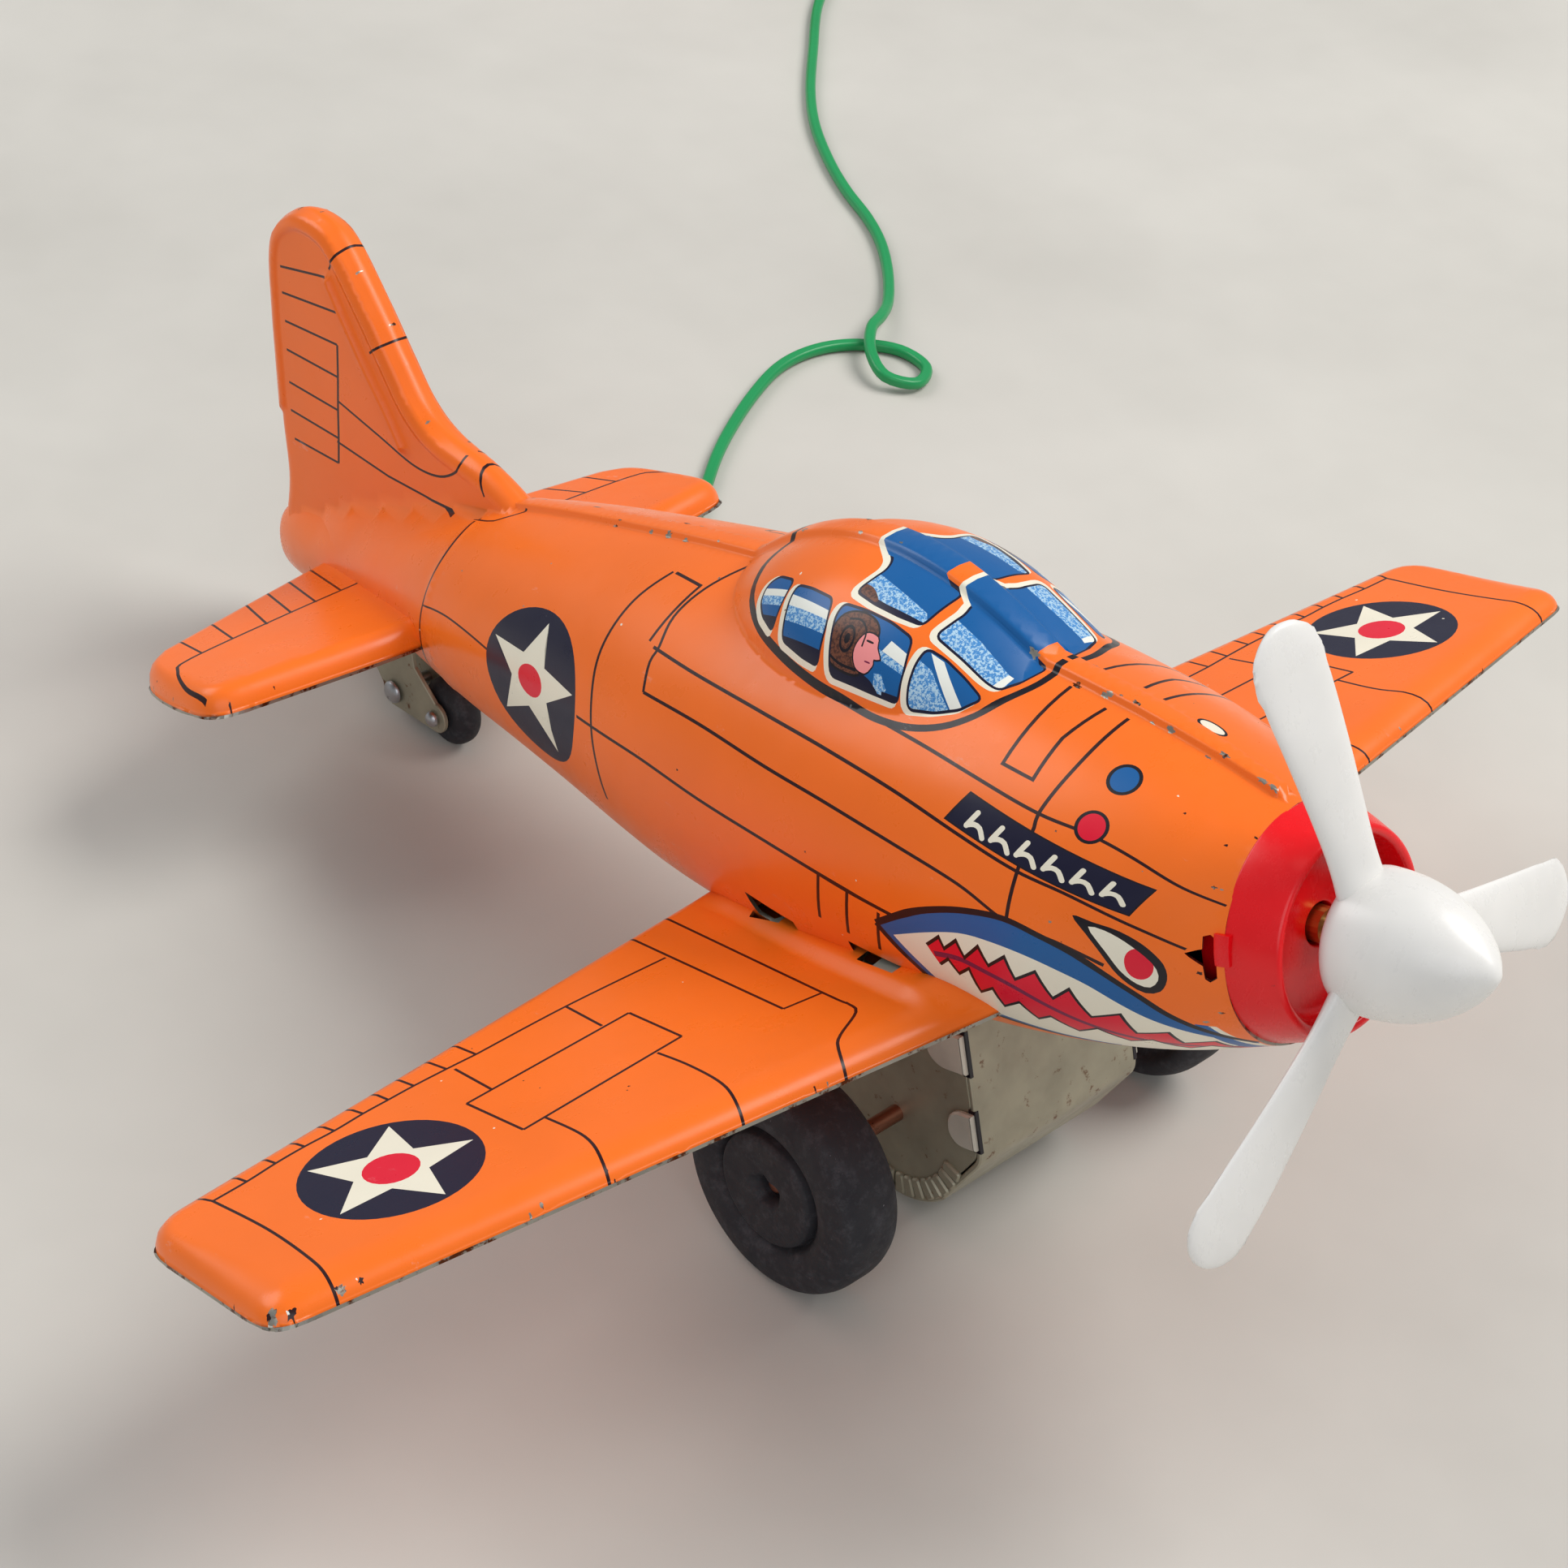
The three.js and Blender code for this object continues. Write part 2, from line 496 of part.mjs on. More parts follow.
// ---------------------------------------------------------------- motor
const motorCan = () => cut(
  turnedY([[0, MOTOR.front], [MOTOR.r - 1, MOTOR.front], [MOTOR.r, MOTOR.front + 1], [MOTOR.r, MOTOR.rear - 3.4],
    [MOTOR.r - SHEET, MOTOR.rear - 3.4], [MOTOR.r - SHEET, MOTOR.front + 1.4], [0, MOTOR.front + 1.4]], 18),
  rodY(SHAFT_R + GAP, MOTOR.front - 1, MOTOR.front + 3));

const motorEndCap = () => turnedY([
  [SHAFT_R + 0.15, MOTOR.rear - 3], [MOTOR.r, MOTOR.rear - 3], [MOTOR.r, MOTOR.rear - 0.6], [MOTOR.r - 0.6, MOTOR.rear],
  [MOTOR.bossR, MOTOR.rear], [MOTOR.bossR, MOTOR.rear + 2.4], [SHAFT_R + 0.15, MOTOR.rear + 2.4],
  [SHAFT_R + 0.15, MOTOR.rear - 3]], 18);

const motorRotor = () => cut(
  turnedY([[0, 24.6], [8, 24.6], [8, 41.6], [4, 41.6], [4, 44.6], [0, 44.6]], 18),
  rodY(SHAFT_R + 0.15, 20, 50));

const motorMagnet = (side) => {
  const ring = turnedY(tubeProfile(MOTOR.r - SHEET - GAP, 8.4, 25, 42), 18);
  const xs = side > 0 ? [-12, 3.2] : [-3.2, 12];
  return cut(ring, block([xs[0], 20, -14], [xs[1], 46, 14]));
};

// ---------------------------------------------------------------- wheels
function roadWheel(side) {
  const [a, b] = [WHEEL.inner, WHEEL.outer];
  const profile = [[WHEEL.boreR, a + 1], [4, a + 1], [5, a + 2], [12, a + 1.6], [13.4, a + 0.2], [15, a + 0.8],
    [WHEEL.r, a + 3], [WHEEL.r, b - 3.2], [14.6, b - 1], [11, b - 0.2], [WHEEL.stepR + 0.6, b - 1.2], [WHEEL.stepR, b - 0.4],
    [3, b - 0.6], [WHEEL.boreR, b - 0.6], [WHEEL.boreR, a + 1]];
  return turnedX(profile.map(([r, x]) => [r, side * x]), 20, AXLE.y, AXLE.z);
}

const tailWheel = () => turnedX([
  [TAIL_WHEEL.pinR + GAP, -TAIL_WHEEL.half], [TAIL_WHEEL.r - 1.2, -TAIL_WHEEL.half], [TAIL_WHEEL.r, -1],
  [TAIL_WHEEL.r, 1], [TAIL_WHEEL.r - 1.2, TAIL_WHEEL.half], [TAIL_WHEEL.pinR + GAP, TAIL_WHEEL.half],
  [TAIL_WHEEL.pinR + GAP, -TAIL_WHEEL.half]], 18, TAIL_WHEEL.y, TAIL_WHEEL.z);

function tailFork() {
  const [inner, outer] = [TAIL_WHEEL.half + 0.5, TAIL_WHEEL.half + 0.5 + SHEET];
  const arm = new THREE.Shape();
  arm.moveTo(182, 9);
  arm.lineTo(183, -1);
  arm.lineTo(TAIL_WHEEL.y - 0.8, TAIL_WHEEL.z + 2.5);
  arm.absarc(TAIL_WHEEL.y, TAIL_WHEEL.z, 2.6, Math.PI * 0.6, Math.PI * 1.6, false);
  arm.absarc(TAIL_RIVET.y, TAIL_RIVET.z, 3, -Math.PI / 3, 0.3, false);
  arm.lineTo(199, 10);
  const arms = [plateX(arm, -outer, -inner), plateX(arm, inner, outer)];
  const web = plateX([[184, 3.4], [198, 6.2], [198, 5.2], [184, 2.4]], -inner - 0.2, inner + 0.2);
  const holes = [rodX(TAIL_WHEEL.pinR + GAP, -5, 5, TAIL_WHEEL.y, TAIL_WHEEL.z),
    rodX(TAIL_RIVET.r + GAP, -5, 5, TAIL_RIVET.y, TAIL_RIVET.z)];
  return cut(join(...arms, web), ...holes, keepOut);
}

const headedPin = (r, headR, half, y, z) => turnedX([
  [0, -half - 1], [headR * 0.6, -half - 0.9], [headR, -half], [r, -half], [r, half], [headR, half],
  [headR * 0.6, half + 0.9], [0, half + 1]], 16, y, z);

// ---------------------------------------------------------------- lead
function bellyGrommet() {
  const { r, neckR, boreR, mouth, y } = GROMMET;
  const foot = cut(turnedZ(rodProfile(r, mouth, -9), 16, 0, y), keepOut);
  const neck = turnedZ(rodProfile(neckR, mouth, -10.2), 16, 0, y);
  const collar = turnedZ(rodProfile(r, -10.9, -9.9), 16, 0, y);
  return cut(join(foot, neck, collar), turnedZ(rodProfile(boreR, mouth - 1, -5), 16, 0, y));
}

// The lead's centreline on the ground frame, chosen by hand: down from the belly, under the tail,
// over the ground in one small loop that humps over itself, and away to the coil.
const LEAD_ROUTE = [
  [0, 1.7, 21.4], [0, 0.4, 17.8], [0.5, -0.4, 13.6], [2, 0, 9.2], [5, 2.6, 4.8], [10, 8, 2], [18, 18, 1.2],
  [32, 38, 1.2], [50, 66, 1.2], [68, 87, 1.2], [81, 98, 1.2], [92, 106, 1.2], [106, 114, 1.2], [118, 119, 1.2],
  [128, 119.6, 1.2], [136, 116.5, 1.2], [141.2, 110.6, 1.2], [141, 103.4, 1.2], [135, 100, 1.7],
  [130.6, 104, 2.7], [133, 110.5, 3.7], [138.8, 116.4, 3.9], [144.5, 119.4, 3.2], [151, 124, 1.8],
  [159, 132, 1.2], [166, 141, 1.2], [171, 150, 1.2], [175.4, 161, 1.2], [181, 172, 1.2], [189, 184.6, 1.2],
  [199, 196.6, 1.2], [213, 210.6, 1.2], [228, 225, 1.2], [243.6, 236.3, 1.2],
];
const LEAD_END = [[259.6, 269.5, 3.8], [260.2, 273, 4.4], [261.4, 276.6, 4.9], [262, 279.6, 5]];

function tubeAlong(points, steps) {
  const path = new THREE.CatmullRomCurve3(points.map((p) => point(...p)), false, 'centripetal');
  const ring = new THREE.Shape(Array.from({ length: 8 }, (_, k) => new THREE.Vector2(
    LEAD_R * Math.cos((k / 8) * 2 * Math.PI), LEAD_R * Math.sin((k / 8) * 2 * Math.PI))));
  return solid(new THREE.ExtrudeGeometry(ring, { steps, extrudePath: path, bevelEnabled: false }));
}

function leadCoil() {
  const { x, y, inner, outer, height } = COIL;
  return turnedZ([[inner, 1], [inner + 1, 0.1], [outer - 1, 0.1], [outer, 1], [outer, height - 1], [outer - 1, height],
    [inner + 1, height], [inner, height - 1], [inner, 1]], 20, x, y);
}

function leadClip() {
  const { x, y, inner, outer, height } = COIL;
  const saddle = block([-outer - 1, -1.5, 0.1], [-inner + 1, 1.5, height + 1]);
  const bundle = block([-outer - GAP, -2, -1], [-inner + GAP, 2, height + GAP]);
  return cut(saddle, bundle).rotate([0, 0, -30]).translate([x, y, 0]);
}

// ---------------------------------------------------------------- battery box, in its own axes
function caseTray() {
  const { half, halfLength, height, entry } = CASE;
  const outer = block([-half, -halfLength, 0], [half, halfLength, height]);
  const inner = block([-half + SHEET, -halfLength + SHEET, SHEET], [half - SHEET, halfLength - SHEET, height + 1]);
  return cut(outer, inner, rodY(2.8, -halfLength - 1, -halfLength + 2, 0, entry));
}

function caseLid() {
  const { half, halfLength, lidTop, lidSkirt } = CASE;
  const wide = GAP + SHEET;
  const outer = block([-half - wide, -halfLength - wide, lidSkirt], [half + wide, halfLength + wide, lidTop]);
  const inner = block([-half - GAP, -halfLength - GAP, lidSkirt - 1], [half + GAP, halfLength + GAP, lidTop - SHEET]);
  return cut(outer, inner, turnedZ(rodProfile(BUTTON.r + GAP, lidTop - 3, lidTop + 1), 20, 0, BUTTON.y));
}

function cell(side) {
  const { r, length, spread, z, nubR } = CELL;
  const [from, to] = [-length / 2, length / 2];
  const profile = [[0, from], [r - 0.6, from], [r, from + 0.6], [r, to - 1.6], [r - 0.8, to - 1], [nubR, to - 1],
    [nubR, to], [0, to]];
  const body = turnedY(profile.map(([radius, y]) => [radius, side * y]), 16, 0, side * spread, z);
  return body;
}

/** The brass strip that joins the two cells at one end of the tray. */
const cellBridge = () => block([-20, CELL.length / 2 + 3.6, 4], [20, CELL.length / 2 + 4.2, 24]);

const cellContact = (side) => block(
  [side > 0 ? 4 : -24, -CELL.length / 2 - 5.2, 9], [side > 0 ? 24 : -4, -CELL.length / 2 - 4.6, 22]);

/** A helical compression spring about Y in front of a cell's flat end. */
function cellSpring(side) {
  const far = side > 0 ? -CELL.length / 2 : CELL.length / 2;
  const [turns, steps] = [2, 20];
  const points = Array.from({ length: steps + 1 }, (_, k) => {
    const angle = (k / steps) * turns * 2 * Math.PI;
    return point(side * CELL.spread + 4 * Math.cos(angle), far - side * (0.9 + 2 * (k / steps)), CELL.z + 4 * Math.sin(angle));
  });
  const path = new THREE.CatmullRomCurve3(points);
  const wire = new THREE.Shape(Array.from({ length: 5 }, (_, k) => new THREE.Vector2(
    0.4 * Math.cos((k / 5) * 2 * Math.PI), 0.4 * Math.sin((k / 5) * 2 * Math.PI))));
  return solid(new THREE.ExtrudeGeometry(wire, { steps, extrudePath: path, bevelEnabled: false }));
}

function driveButton() {
  const { r, y, rise } = BUTTON;
  const under = CASE.lidTop - SHEET - GAP;
  return turnedZ([[0, under - 1], [r + 1.6, under - 1], [r + 1.6, under], [r, under], [r, CASE.lidTop + rise - 1],
    [r - 1, CASE.lidTop + rise], [0, CASE.lidTop + rise]], 20, 0, y);
}

const caseGrommet = () => turnedY([
  [1.4, -CASE.halfLength - 6], [1.9, -CASE.halfLength - 6], [3.4, -CASE.halfLength - GAP], [2.5, -CASE.halfLength - GAP],
  [2.5, -CASE.halfLength + 2], [1.4, -CASE.halfLength + 2], [1.4, -CASE.halfLength - 6]], 16, 0, 0, CASE.entry);

// ---------------------------------------------------------------- assembly
const toy = new THREE.Group();
const airframe = new THREE.Group();
const ground = new THREE.Group();
toy.add(airframe, ground);

function add(group, name, body, material) {
  const mesh = new THREE.Mesh(geometryOf(body), material);
  mesh.name = name;
  group.add(mesh);
  return mesh;
}

for (const [name, side] of SIDES) {
  add(airframe, `fuselage_${name}`, fuselageHalf(side), MATERIAL.orange);
  add(airframe, `wing_${name}_upper`, wingUpper(side), MATERIAL.orange);
  add(airframe, `wing_${name}_lower`, wingLower(side), MATERIAL.orange);
  add(airframe, `tailplane_${name}`, tailplane(side), MATERIAL.orange);
  add(airframe, `gearbox_cheek_${name}`, gearboxCheek(side), MATERIAL.drab);
  add(airframe, `motor_magnet_${name}`, motorMagnet(side), MATERIAL.black);
  add(airframe, `wheel_${name}`, roadWheel(side), MATERIAL.rubber);
}
add(airframe, 'nose_ring', noseRing(), MATERIAL.red);
add(airframe, 'shaft_bush', shaftBush(), MATERIAL.brass);
add(airframe, 'propeller', propeller(), MATERIAL.white);
add(airframe, 'drive_shaft', rodY(SHAFT_R, -9, WORM.to + 1.5), MATERIAL.steel);
add(airframe, 'motor_can', motorCan(), MATERIAL.steel);
add(airframe, 'motor_end_cap', motorEndCap(), MATERIAL.nylon);
add(airframe, 'motor_rotor', motorRotor(), MATERIAL.copper);
add(airframe, 'motor_plate', motorPlate(), MATERIAL.drab);
add(airframe, 'worm', worm(), MATERIAL.brass);
add(airframe, 'worm_wheel', wormWheel(), MATERIAL.nylon);
add(airframe, 'idler_gear', gear(IDLER.teeth, idlerTooth, STUB_R + 0.15, IDLER.y, IDLER.z, ...GEAR_X), MATERIAL.nylon);
add(airframe, 'axle_gear', gear(AXLE_TEETH, axleTooth, AXLE.r + 0.15, AXLE.y, AXLE.z, ...GEAR_X), MATERIAL.brass);
add(airframe, 'worm_wheel_shaft', rodX(STUB_R, -15.6, 15.6, WORM_WHEEL.y, WORM_WHEEL.z), MATERIAL.steel);
add(airframe, 'idler_shaft', rodX(STUB_R, GEAR_X[0] - 1, 15.6, IDLER.y, IDLER.z), MATERIAL.steel);
add(airframe, 'road_axle', rodX(AXLE.r, -AXLE.half, AXLE.half, AXLE.y, AXLE.z), MATERIAL.copper);
add(airframe, 'gearbox_wrap', gearboxWrap(), MATERIAL.drab);
add(airframe, 'tail_fork', tailFork(), MATERIAL.drab);
add(airframe, 'tail_wheel', tailWheel(), MATERIAL.rubber);
add(airframe, 'tail_axle', headedPin(TAIL_WHEEL.pinR, 1.4, 4.1, TAIL_WHEEL.y, TAIL_WHEEL.z), MATERIAL.steel);
add(airframe, 'tail_rivet', headedPin(TAIL_RIVET.r, TAIL_RIVET.headR, 4.1, TAIL_RIVET.y, TAIL_RIVET.z), MATERIAL.steel);

add(airframe, 'belly_grommet', bellyGrommet(), MATERIAL.black);
add(ground, 'lead', tubeAlong(LEAD_ROUTE, 72), MATERIAL.lead);
add(ground, 'lead_end', tubeAlong(LEAD_END, 5), MATERIAL.lead);
add(ground, 'lead_coil', leadCoil(), MATERIAL.lead);
add(ground, 'lead_clip', leadClip(), MATERIAL.black);

const batteryBox = new THREE.Group();
ground.add(batteryBox);
batteryBox.position.set(CASE.x, CASE.y, 0);
add(batteryBox, 'case_tray', caseTray(), MATERIAL.caseRed);
add(batteryBox, 'case_lid', caseLid(), MATERIAL.caseRed);
add(batteryBox, 'cell_a', cell(1), MATERIAL.cell);
add(batteryBox, 'cell_b', cell(-1), MATERIAL.cell);
add(batteryBox, 'cell_bridge', cellBridge(), MATERIAL.brass);
add(batteryBox, 'contact_a', cellContact(1), MATERIAL.brass);
add(batteryBox, 'contact_b', cellContact(-1), MATERIAL.brass);
add(batteryBox, 'spring_a', cellSpring(1), MATERIAL.steel);
add(batteryBox, 'spring_b', cellSpring(-1), MATERIAL.steel);
add(batteryBox, 'drive_button', driveButton(), MATERIAL.black);
add(batteryBox, 'case_grommet', caseGrommet(), MATERIAL.black);

airframe.rotation.x = -radians(PITCH);
airframe.updateMatrixWorld(true);
const footprint = new THREE.Box3().setFromObject(airframe, true);
const centre = footprint.getCenter(new THREE.Vector3());
airframe.position.set(0, -centre.y, -footprint.min.z);
airframe.updateMatrixWorld(true);

export default toy;
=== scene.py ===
"""Vintage tin remote-control fighter plane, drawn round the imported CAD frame.

Sizes are in millimetres in airframe axes (propeller shaft along Y, nose towards -Y, fin up) unless
a name says otherwise; to_world() turns them into the frame's metres. A sheet of printed tin is a
flat drawing in sheet coordinates, cut into triangles along every printed edge and then folded onto
the surface, so that the print is geometry with one material per ink.
"""
import json
import math

import bpy
import numpy as np
from mathutils import Matrix, Vector
from mathutils.geometry import delaunay_2d_cdt

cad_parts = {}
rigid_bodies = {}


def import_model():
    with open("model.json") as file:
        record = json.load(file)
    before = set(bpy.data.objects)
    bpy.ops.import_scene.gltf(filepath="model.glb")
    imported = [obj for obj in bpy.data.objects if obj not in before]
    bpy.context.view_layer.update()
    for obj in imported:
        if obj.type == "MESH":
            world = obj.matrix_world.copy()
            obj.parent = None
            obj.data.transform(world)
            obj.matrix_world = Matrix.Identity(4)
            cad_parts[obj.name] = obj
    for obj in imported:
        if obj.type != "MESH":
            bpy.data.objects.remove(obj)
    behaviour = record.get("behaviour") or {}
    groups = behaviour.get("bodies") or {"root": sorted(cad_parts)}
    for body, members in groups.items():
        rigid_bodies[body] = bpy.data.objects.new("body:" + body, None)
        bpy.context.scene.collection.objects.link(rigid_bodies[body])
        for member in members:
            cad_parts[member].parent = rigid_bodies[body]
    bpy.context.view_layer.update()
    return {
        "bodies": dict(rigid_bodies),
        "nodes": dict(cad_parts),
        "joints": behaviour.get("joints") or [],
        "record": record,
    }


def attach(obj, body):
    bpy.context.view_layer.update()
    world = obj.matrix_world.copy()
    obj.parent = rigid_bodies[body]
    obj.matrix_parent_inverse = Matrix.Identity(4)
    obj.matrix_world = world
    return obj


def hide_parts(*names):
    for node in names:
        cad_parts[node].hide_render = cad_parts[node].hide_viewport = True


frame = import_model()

MM = 0.001
SIDES = (("starboard", -1), ("port", 1))

# ------------------------------------------------------------------ airframe axes
JOINT = {joint["name"]: joint for joint in frame["joints"]}
HUB = Vector(JOINT["propeller_spin"]["pos_m"])
AFT = Vector(JOINT["propeller_spin"]["axis"]).normalized()
LIFT = Vector((0.0, -AFT.z, AFT.y))


def to_world(points):
    """Airframe millimetres to frame metres, for an array of points."""
    points = np.asarray(points, float)
    axes = np.array([(1.0, 0.0, 0.0), tuple(AFT), tuple(LIFT)])
    return np.array(HUB) + points @ axes * MM


# ------------------------------------------------------------------ camera
CAMERA_PLACE = Vector((-0.26842, -0.24631, 0.32591))
CAMERA_RIGHT = Vector((0.72766, -0.67775, 0.10568))
CAMERA_UP = Vector((0.36627, 0.51417, 0.77555))
LENS_MM, SENSOR_MM = 76.4, 36.0


def make_camera():
    data = bpy.data.cameras.new("camera")
    data.lens = LENS_MM
    data.sensor_width = SENSOR_MM
    data.clip_start = 0.01
    data.dof.use_dof = False
    camera = bpy.data.objects.new("camera", data)
    bpy.context.scene.collection.objects.link(camera)
    back = CAMERA_RIGHT.cross(CAMERA_UP)
    turn = Matrix((CAMERA_RIGHT, CAMERA_UP, back)).transposed().to_4x4()
    camera.matrix_world = Matrix.Translation(CAMERA_PLACE) @ turn
    bpy.context.scene.camera = camera


make_camera()

# ------------------------------------------------------------------ materials
def linear(srgb):
    """An (r, g, b) of 0 to 255 as linear light, with alpha."""
    def channel(value):
        value /= 255
        return value / 12.92 if value <= 0.04045 else ((value + 0.055) / 1.055) ** 2.4
    return (*(channel(value) for value in srgb), 1.0)


class Nodes:
    """A new node material: the shader, its coordinates, and short calls for the usual nodes."""

    def __init__(self, name):
        self.material = bpy.data.materials.new(name)
        self.material.use_nodes = True
        self.tree = self.material.node_tree
        self.shader = self.tree.nodes["Principled BSDF"]
        self.coordinates = self.tree.nodes.new("ShaderNodeTexCoord").outputs["Object"]

    def link(self, source, target):
        self.tree.links.new(source, target)
        return source

    def noise(self, scale, detail=3.0, roughness=0.55, stretch=None):
        node = self.tree.nodes.new("ShaderNodeTexNoise")
        node.inputs["Scale"].default_value = scale
        node.inputs["Detail"].default_value = detail
        node.inputs["Roughness"].default_value = roughness
        source = self.coordinates
        if stretch:
            mapping = self.tree.nodes.new("ShaderNodeMapping")
            mapping.inputs["Scale"].default_value = stretch
            self.link(self.coordinates, mapping.inputs["Vector"])
            source = mapping.outputs["Vector"]
        self.link(source, node.inputs["Vector"])
        return node.outputs["Fac"]

    def spread(self, value, low, high, to_low=0.0, to_high=1.0):
        node = self.tree.nodes.new("ShaderNodeMapRange")
        node.inputs["From Min"].default_value = low
        node.inputs["From Max"].default_value = high
        node.inputs["To Min"].default_value = to_low
        node.inputs["To Max"].default_value = to_high
        self.link(value, node.inputs["Value"])
        return node.outputs["Result"]

    def mix(self, share, first, second):
        node = self.tree.nodes.new("ShaderNodeMix")
        node.data_type = "RGBA"
        self.link(share, node.inputs[0])
        for value, socket in ((first, node.inputs[6]), (second, node.inputs[7])):
            if isinstance(value, tuple):
                socket.default_value = value
            else:
                self.link(value, socket)
        return node.outputs[2]

    def bump(self, height, distance, strength=1.0, below=None):
        node = self.tree.nodes.new("ShaderNodeBump")
        node.inputs["Strength"].default_value = strength
        node.inputs["Distance"].default_value = distance
        self.link(height, node.inputs["Height"])
        if below is not None:
            self.link(below, node.inputs["Normal"])
        return node.outputs["Normal"]

    def set(self, **values):
        for name, value in values.items():
            self.shader.inputs[name.replace("_", " ")].default_value = value

    def finish(self, colour, roughness, normal=None):
        self.link(colour, self.shader.inputs["Base Color"])
        self.link(roughness, self.shader.inputs["Roughness"])
        if normal is not None:
            self.link(normal, self.shader.inputs["Normal"])
        return self.material


def ink(name, srgb, variation=0.06, speckle=None):
    """Printed and varnished tin: one ink, handled and slightly scuffed, under a thin gloss."""
    nodes = Nodes(name)
    base = linear(srgb)
    dull = tuple(value * (1 - variation) for value in base[:3]) + (1.0,)
    pale = tuple(value + (0.75 - value) * 0.35 for value in base[:3]) + (1.0,)
    colour = nodes.mix(nodes.spread(nodes.noise(55), 0.35, 0.7), base, dull)
    if speckle:
        dots = nodes.spread(nodes.noise(2600, 2.0, 0.7), 0.46, 0.56)
        colour = nodes.mix(dots, colour, linear(speckle))
    scuffs = nodes.spread(nodes.noise(210, 6.0, 0.72, stretch=(1.0, 0.35, 1.0)), 0.665, 0.71, 0.0, 0.45)
    colour = nodes.mix(scuffs, colour, pale)
    roughness = nodes.spread(nodes.noise(140, 5.0, 0.65), 0.3, 0.75, 0.24, 0.42)
    dents = nodes.bump(nodes.noise(38, 2.0), 0.0006, 0.35)
    normal = nodes.bump(nodes.noise(900, 2.0), 0.00002, 0.25, below=dents)
    nodes.set(Coat_Weight=0.16, Coat_Roughness=0.22, IOR=1.4)
    return nodes.finish(colour, roughness, normal)


def bare_metal(name, srgb, roughness=(0.28, 0.5), stain=(70, 48, 30), stain_from=0.62, metallic=1.0):
    """Plain or plated metal with brown age spots."""
    nodes = Nodes(name)
    base = linear(srgb)
    shade = tuple(value * 0.8 for value in base[:3]) + (1.0,)
    colour = nodes.mix(nodes.spread(nodes.noise(130), 0.35, 0.7), base, shade)
    spots = nodes.spread(nodes.noise(330, 6.0, 0.7), stain_from, stain_from + 0.07)
    colour = nodes.mix(spots, colour, linear(stain))
    rough = nodes.spread(nodes.noise(260, 5.0, 0.7), 0.3, 0.75, *roughness)
    nodes.set(Metallic=metallic)
    return nodes.finish(colour, rough, nodes.bump(nodes.noise(700, 3.0), 0.00003, 0.3))


def plastic(name, srgb, roughness=(0.2, 0.34), subsurface=0.0, grime=(120, 100, 80), grime_from=0.66):
    """Moulded plastic: a slight mottle, fine scratches in its gloss, and dirt in a few spots."""
    nodes = Nodes(name)
    base = linear(srgb)
    shade = tuple(value * 0.93 for value in base[:3]) + (1.0,)
    colour = nodes.mix(nodes.spread(nodes.noise(70), 0.35, 0.7), base, shade)
    dirt = nodes.spread(nodes.noise(420, 6.0, 0.75), grime_from, grime_from + 0.08, 0.0, 0.6)
    colour = nodes.mix(dirt, colour, linear(grime))
    rough = nodes.spread(nodes.noise(380, 5.0, 0.7, stretch=(1.0, 1.0, 0.4)), 0.3, 0.75, *roughness)
    if subsurface:
        nodes.set(Subsurface_Weight=subsurface, Subsurface_Radius=(0.002, 0.002, 0.0018),
                  Subsurface_Scale=1.0)
    return nodes.finish(colour, rough, nodes.bump(nodes.noise(160, 2.0), 0.00006, 0.1))


def rubber(name, srgb):
    """Old tyre rubber: matt, grey with dust in patches, finely pitted."""
    nodes = Nodes(name)
    base = linear(srgb)
    dust = linear((92, 92, 98))
    colour = nodes.mix(nodes.spread(nodes.noise(420, 6.0, 0.75), 0.5, 0.8, 0.0, 0.5), base, dust)
    specks = nodes.spread(nodes.noise(1500, 4.0, 0.8), 0.68, 0.74, 0.0, 0.7)
    colour = nodes.mix(specks, colour, linear((140, 140, 145)))
    rough = nodes.spread(nodes.noise(300), 0.3, 0.7, 0.62, 0.85)
    pits = nodes.bump(nodes.noise(1100, 4.0, 0.7), 0.00012, 0.5)
    return nodes.finish(colour, rough, pits)


INK = {
    "orange": ink("ink_orange", (252, 116, 28)),
    "line": ink("ink_line", (40, 6, 10)),
    "black": ink("ink_black", (12, 4, 18)),
    "navy": ink("ink_navy", (12, 10, 44)),
    "cream": ink("ink_cream", (240, 234, 214)),
    "red": ink("ink_red", (228, 6, 48)),
    "dark_red": ink("ink_dark_red", (120, 24, 70)),
    "blue": ink("ink_blue", (8, 92, 158)),
    "sky": ink("ink_sky", (70, 140, 205), speckle=(176, 210, 232)),
    "glint": ink("ink_glint", (238, 240, 232)),
    "leather": ink("ink_leather", (112, 66, 46), speckle=(70, 38, 30)),
    "skin": ink("ink_skin", (246, 150, 150)),
    "bare": bare_metal("bare_tin", (172, 168, 158), stain=(96, 50, 28), stain_from=0.52),
}
INKS = list(INK)
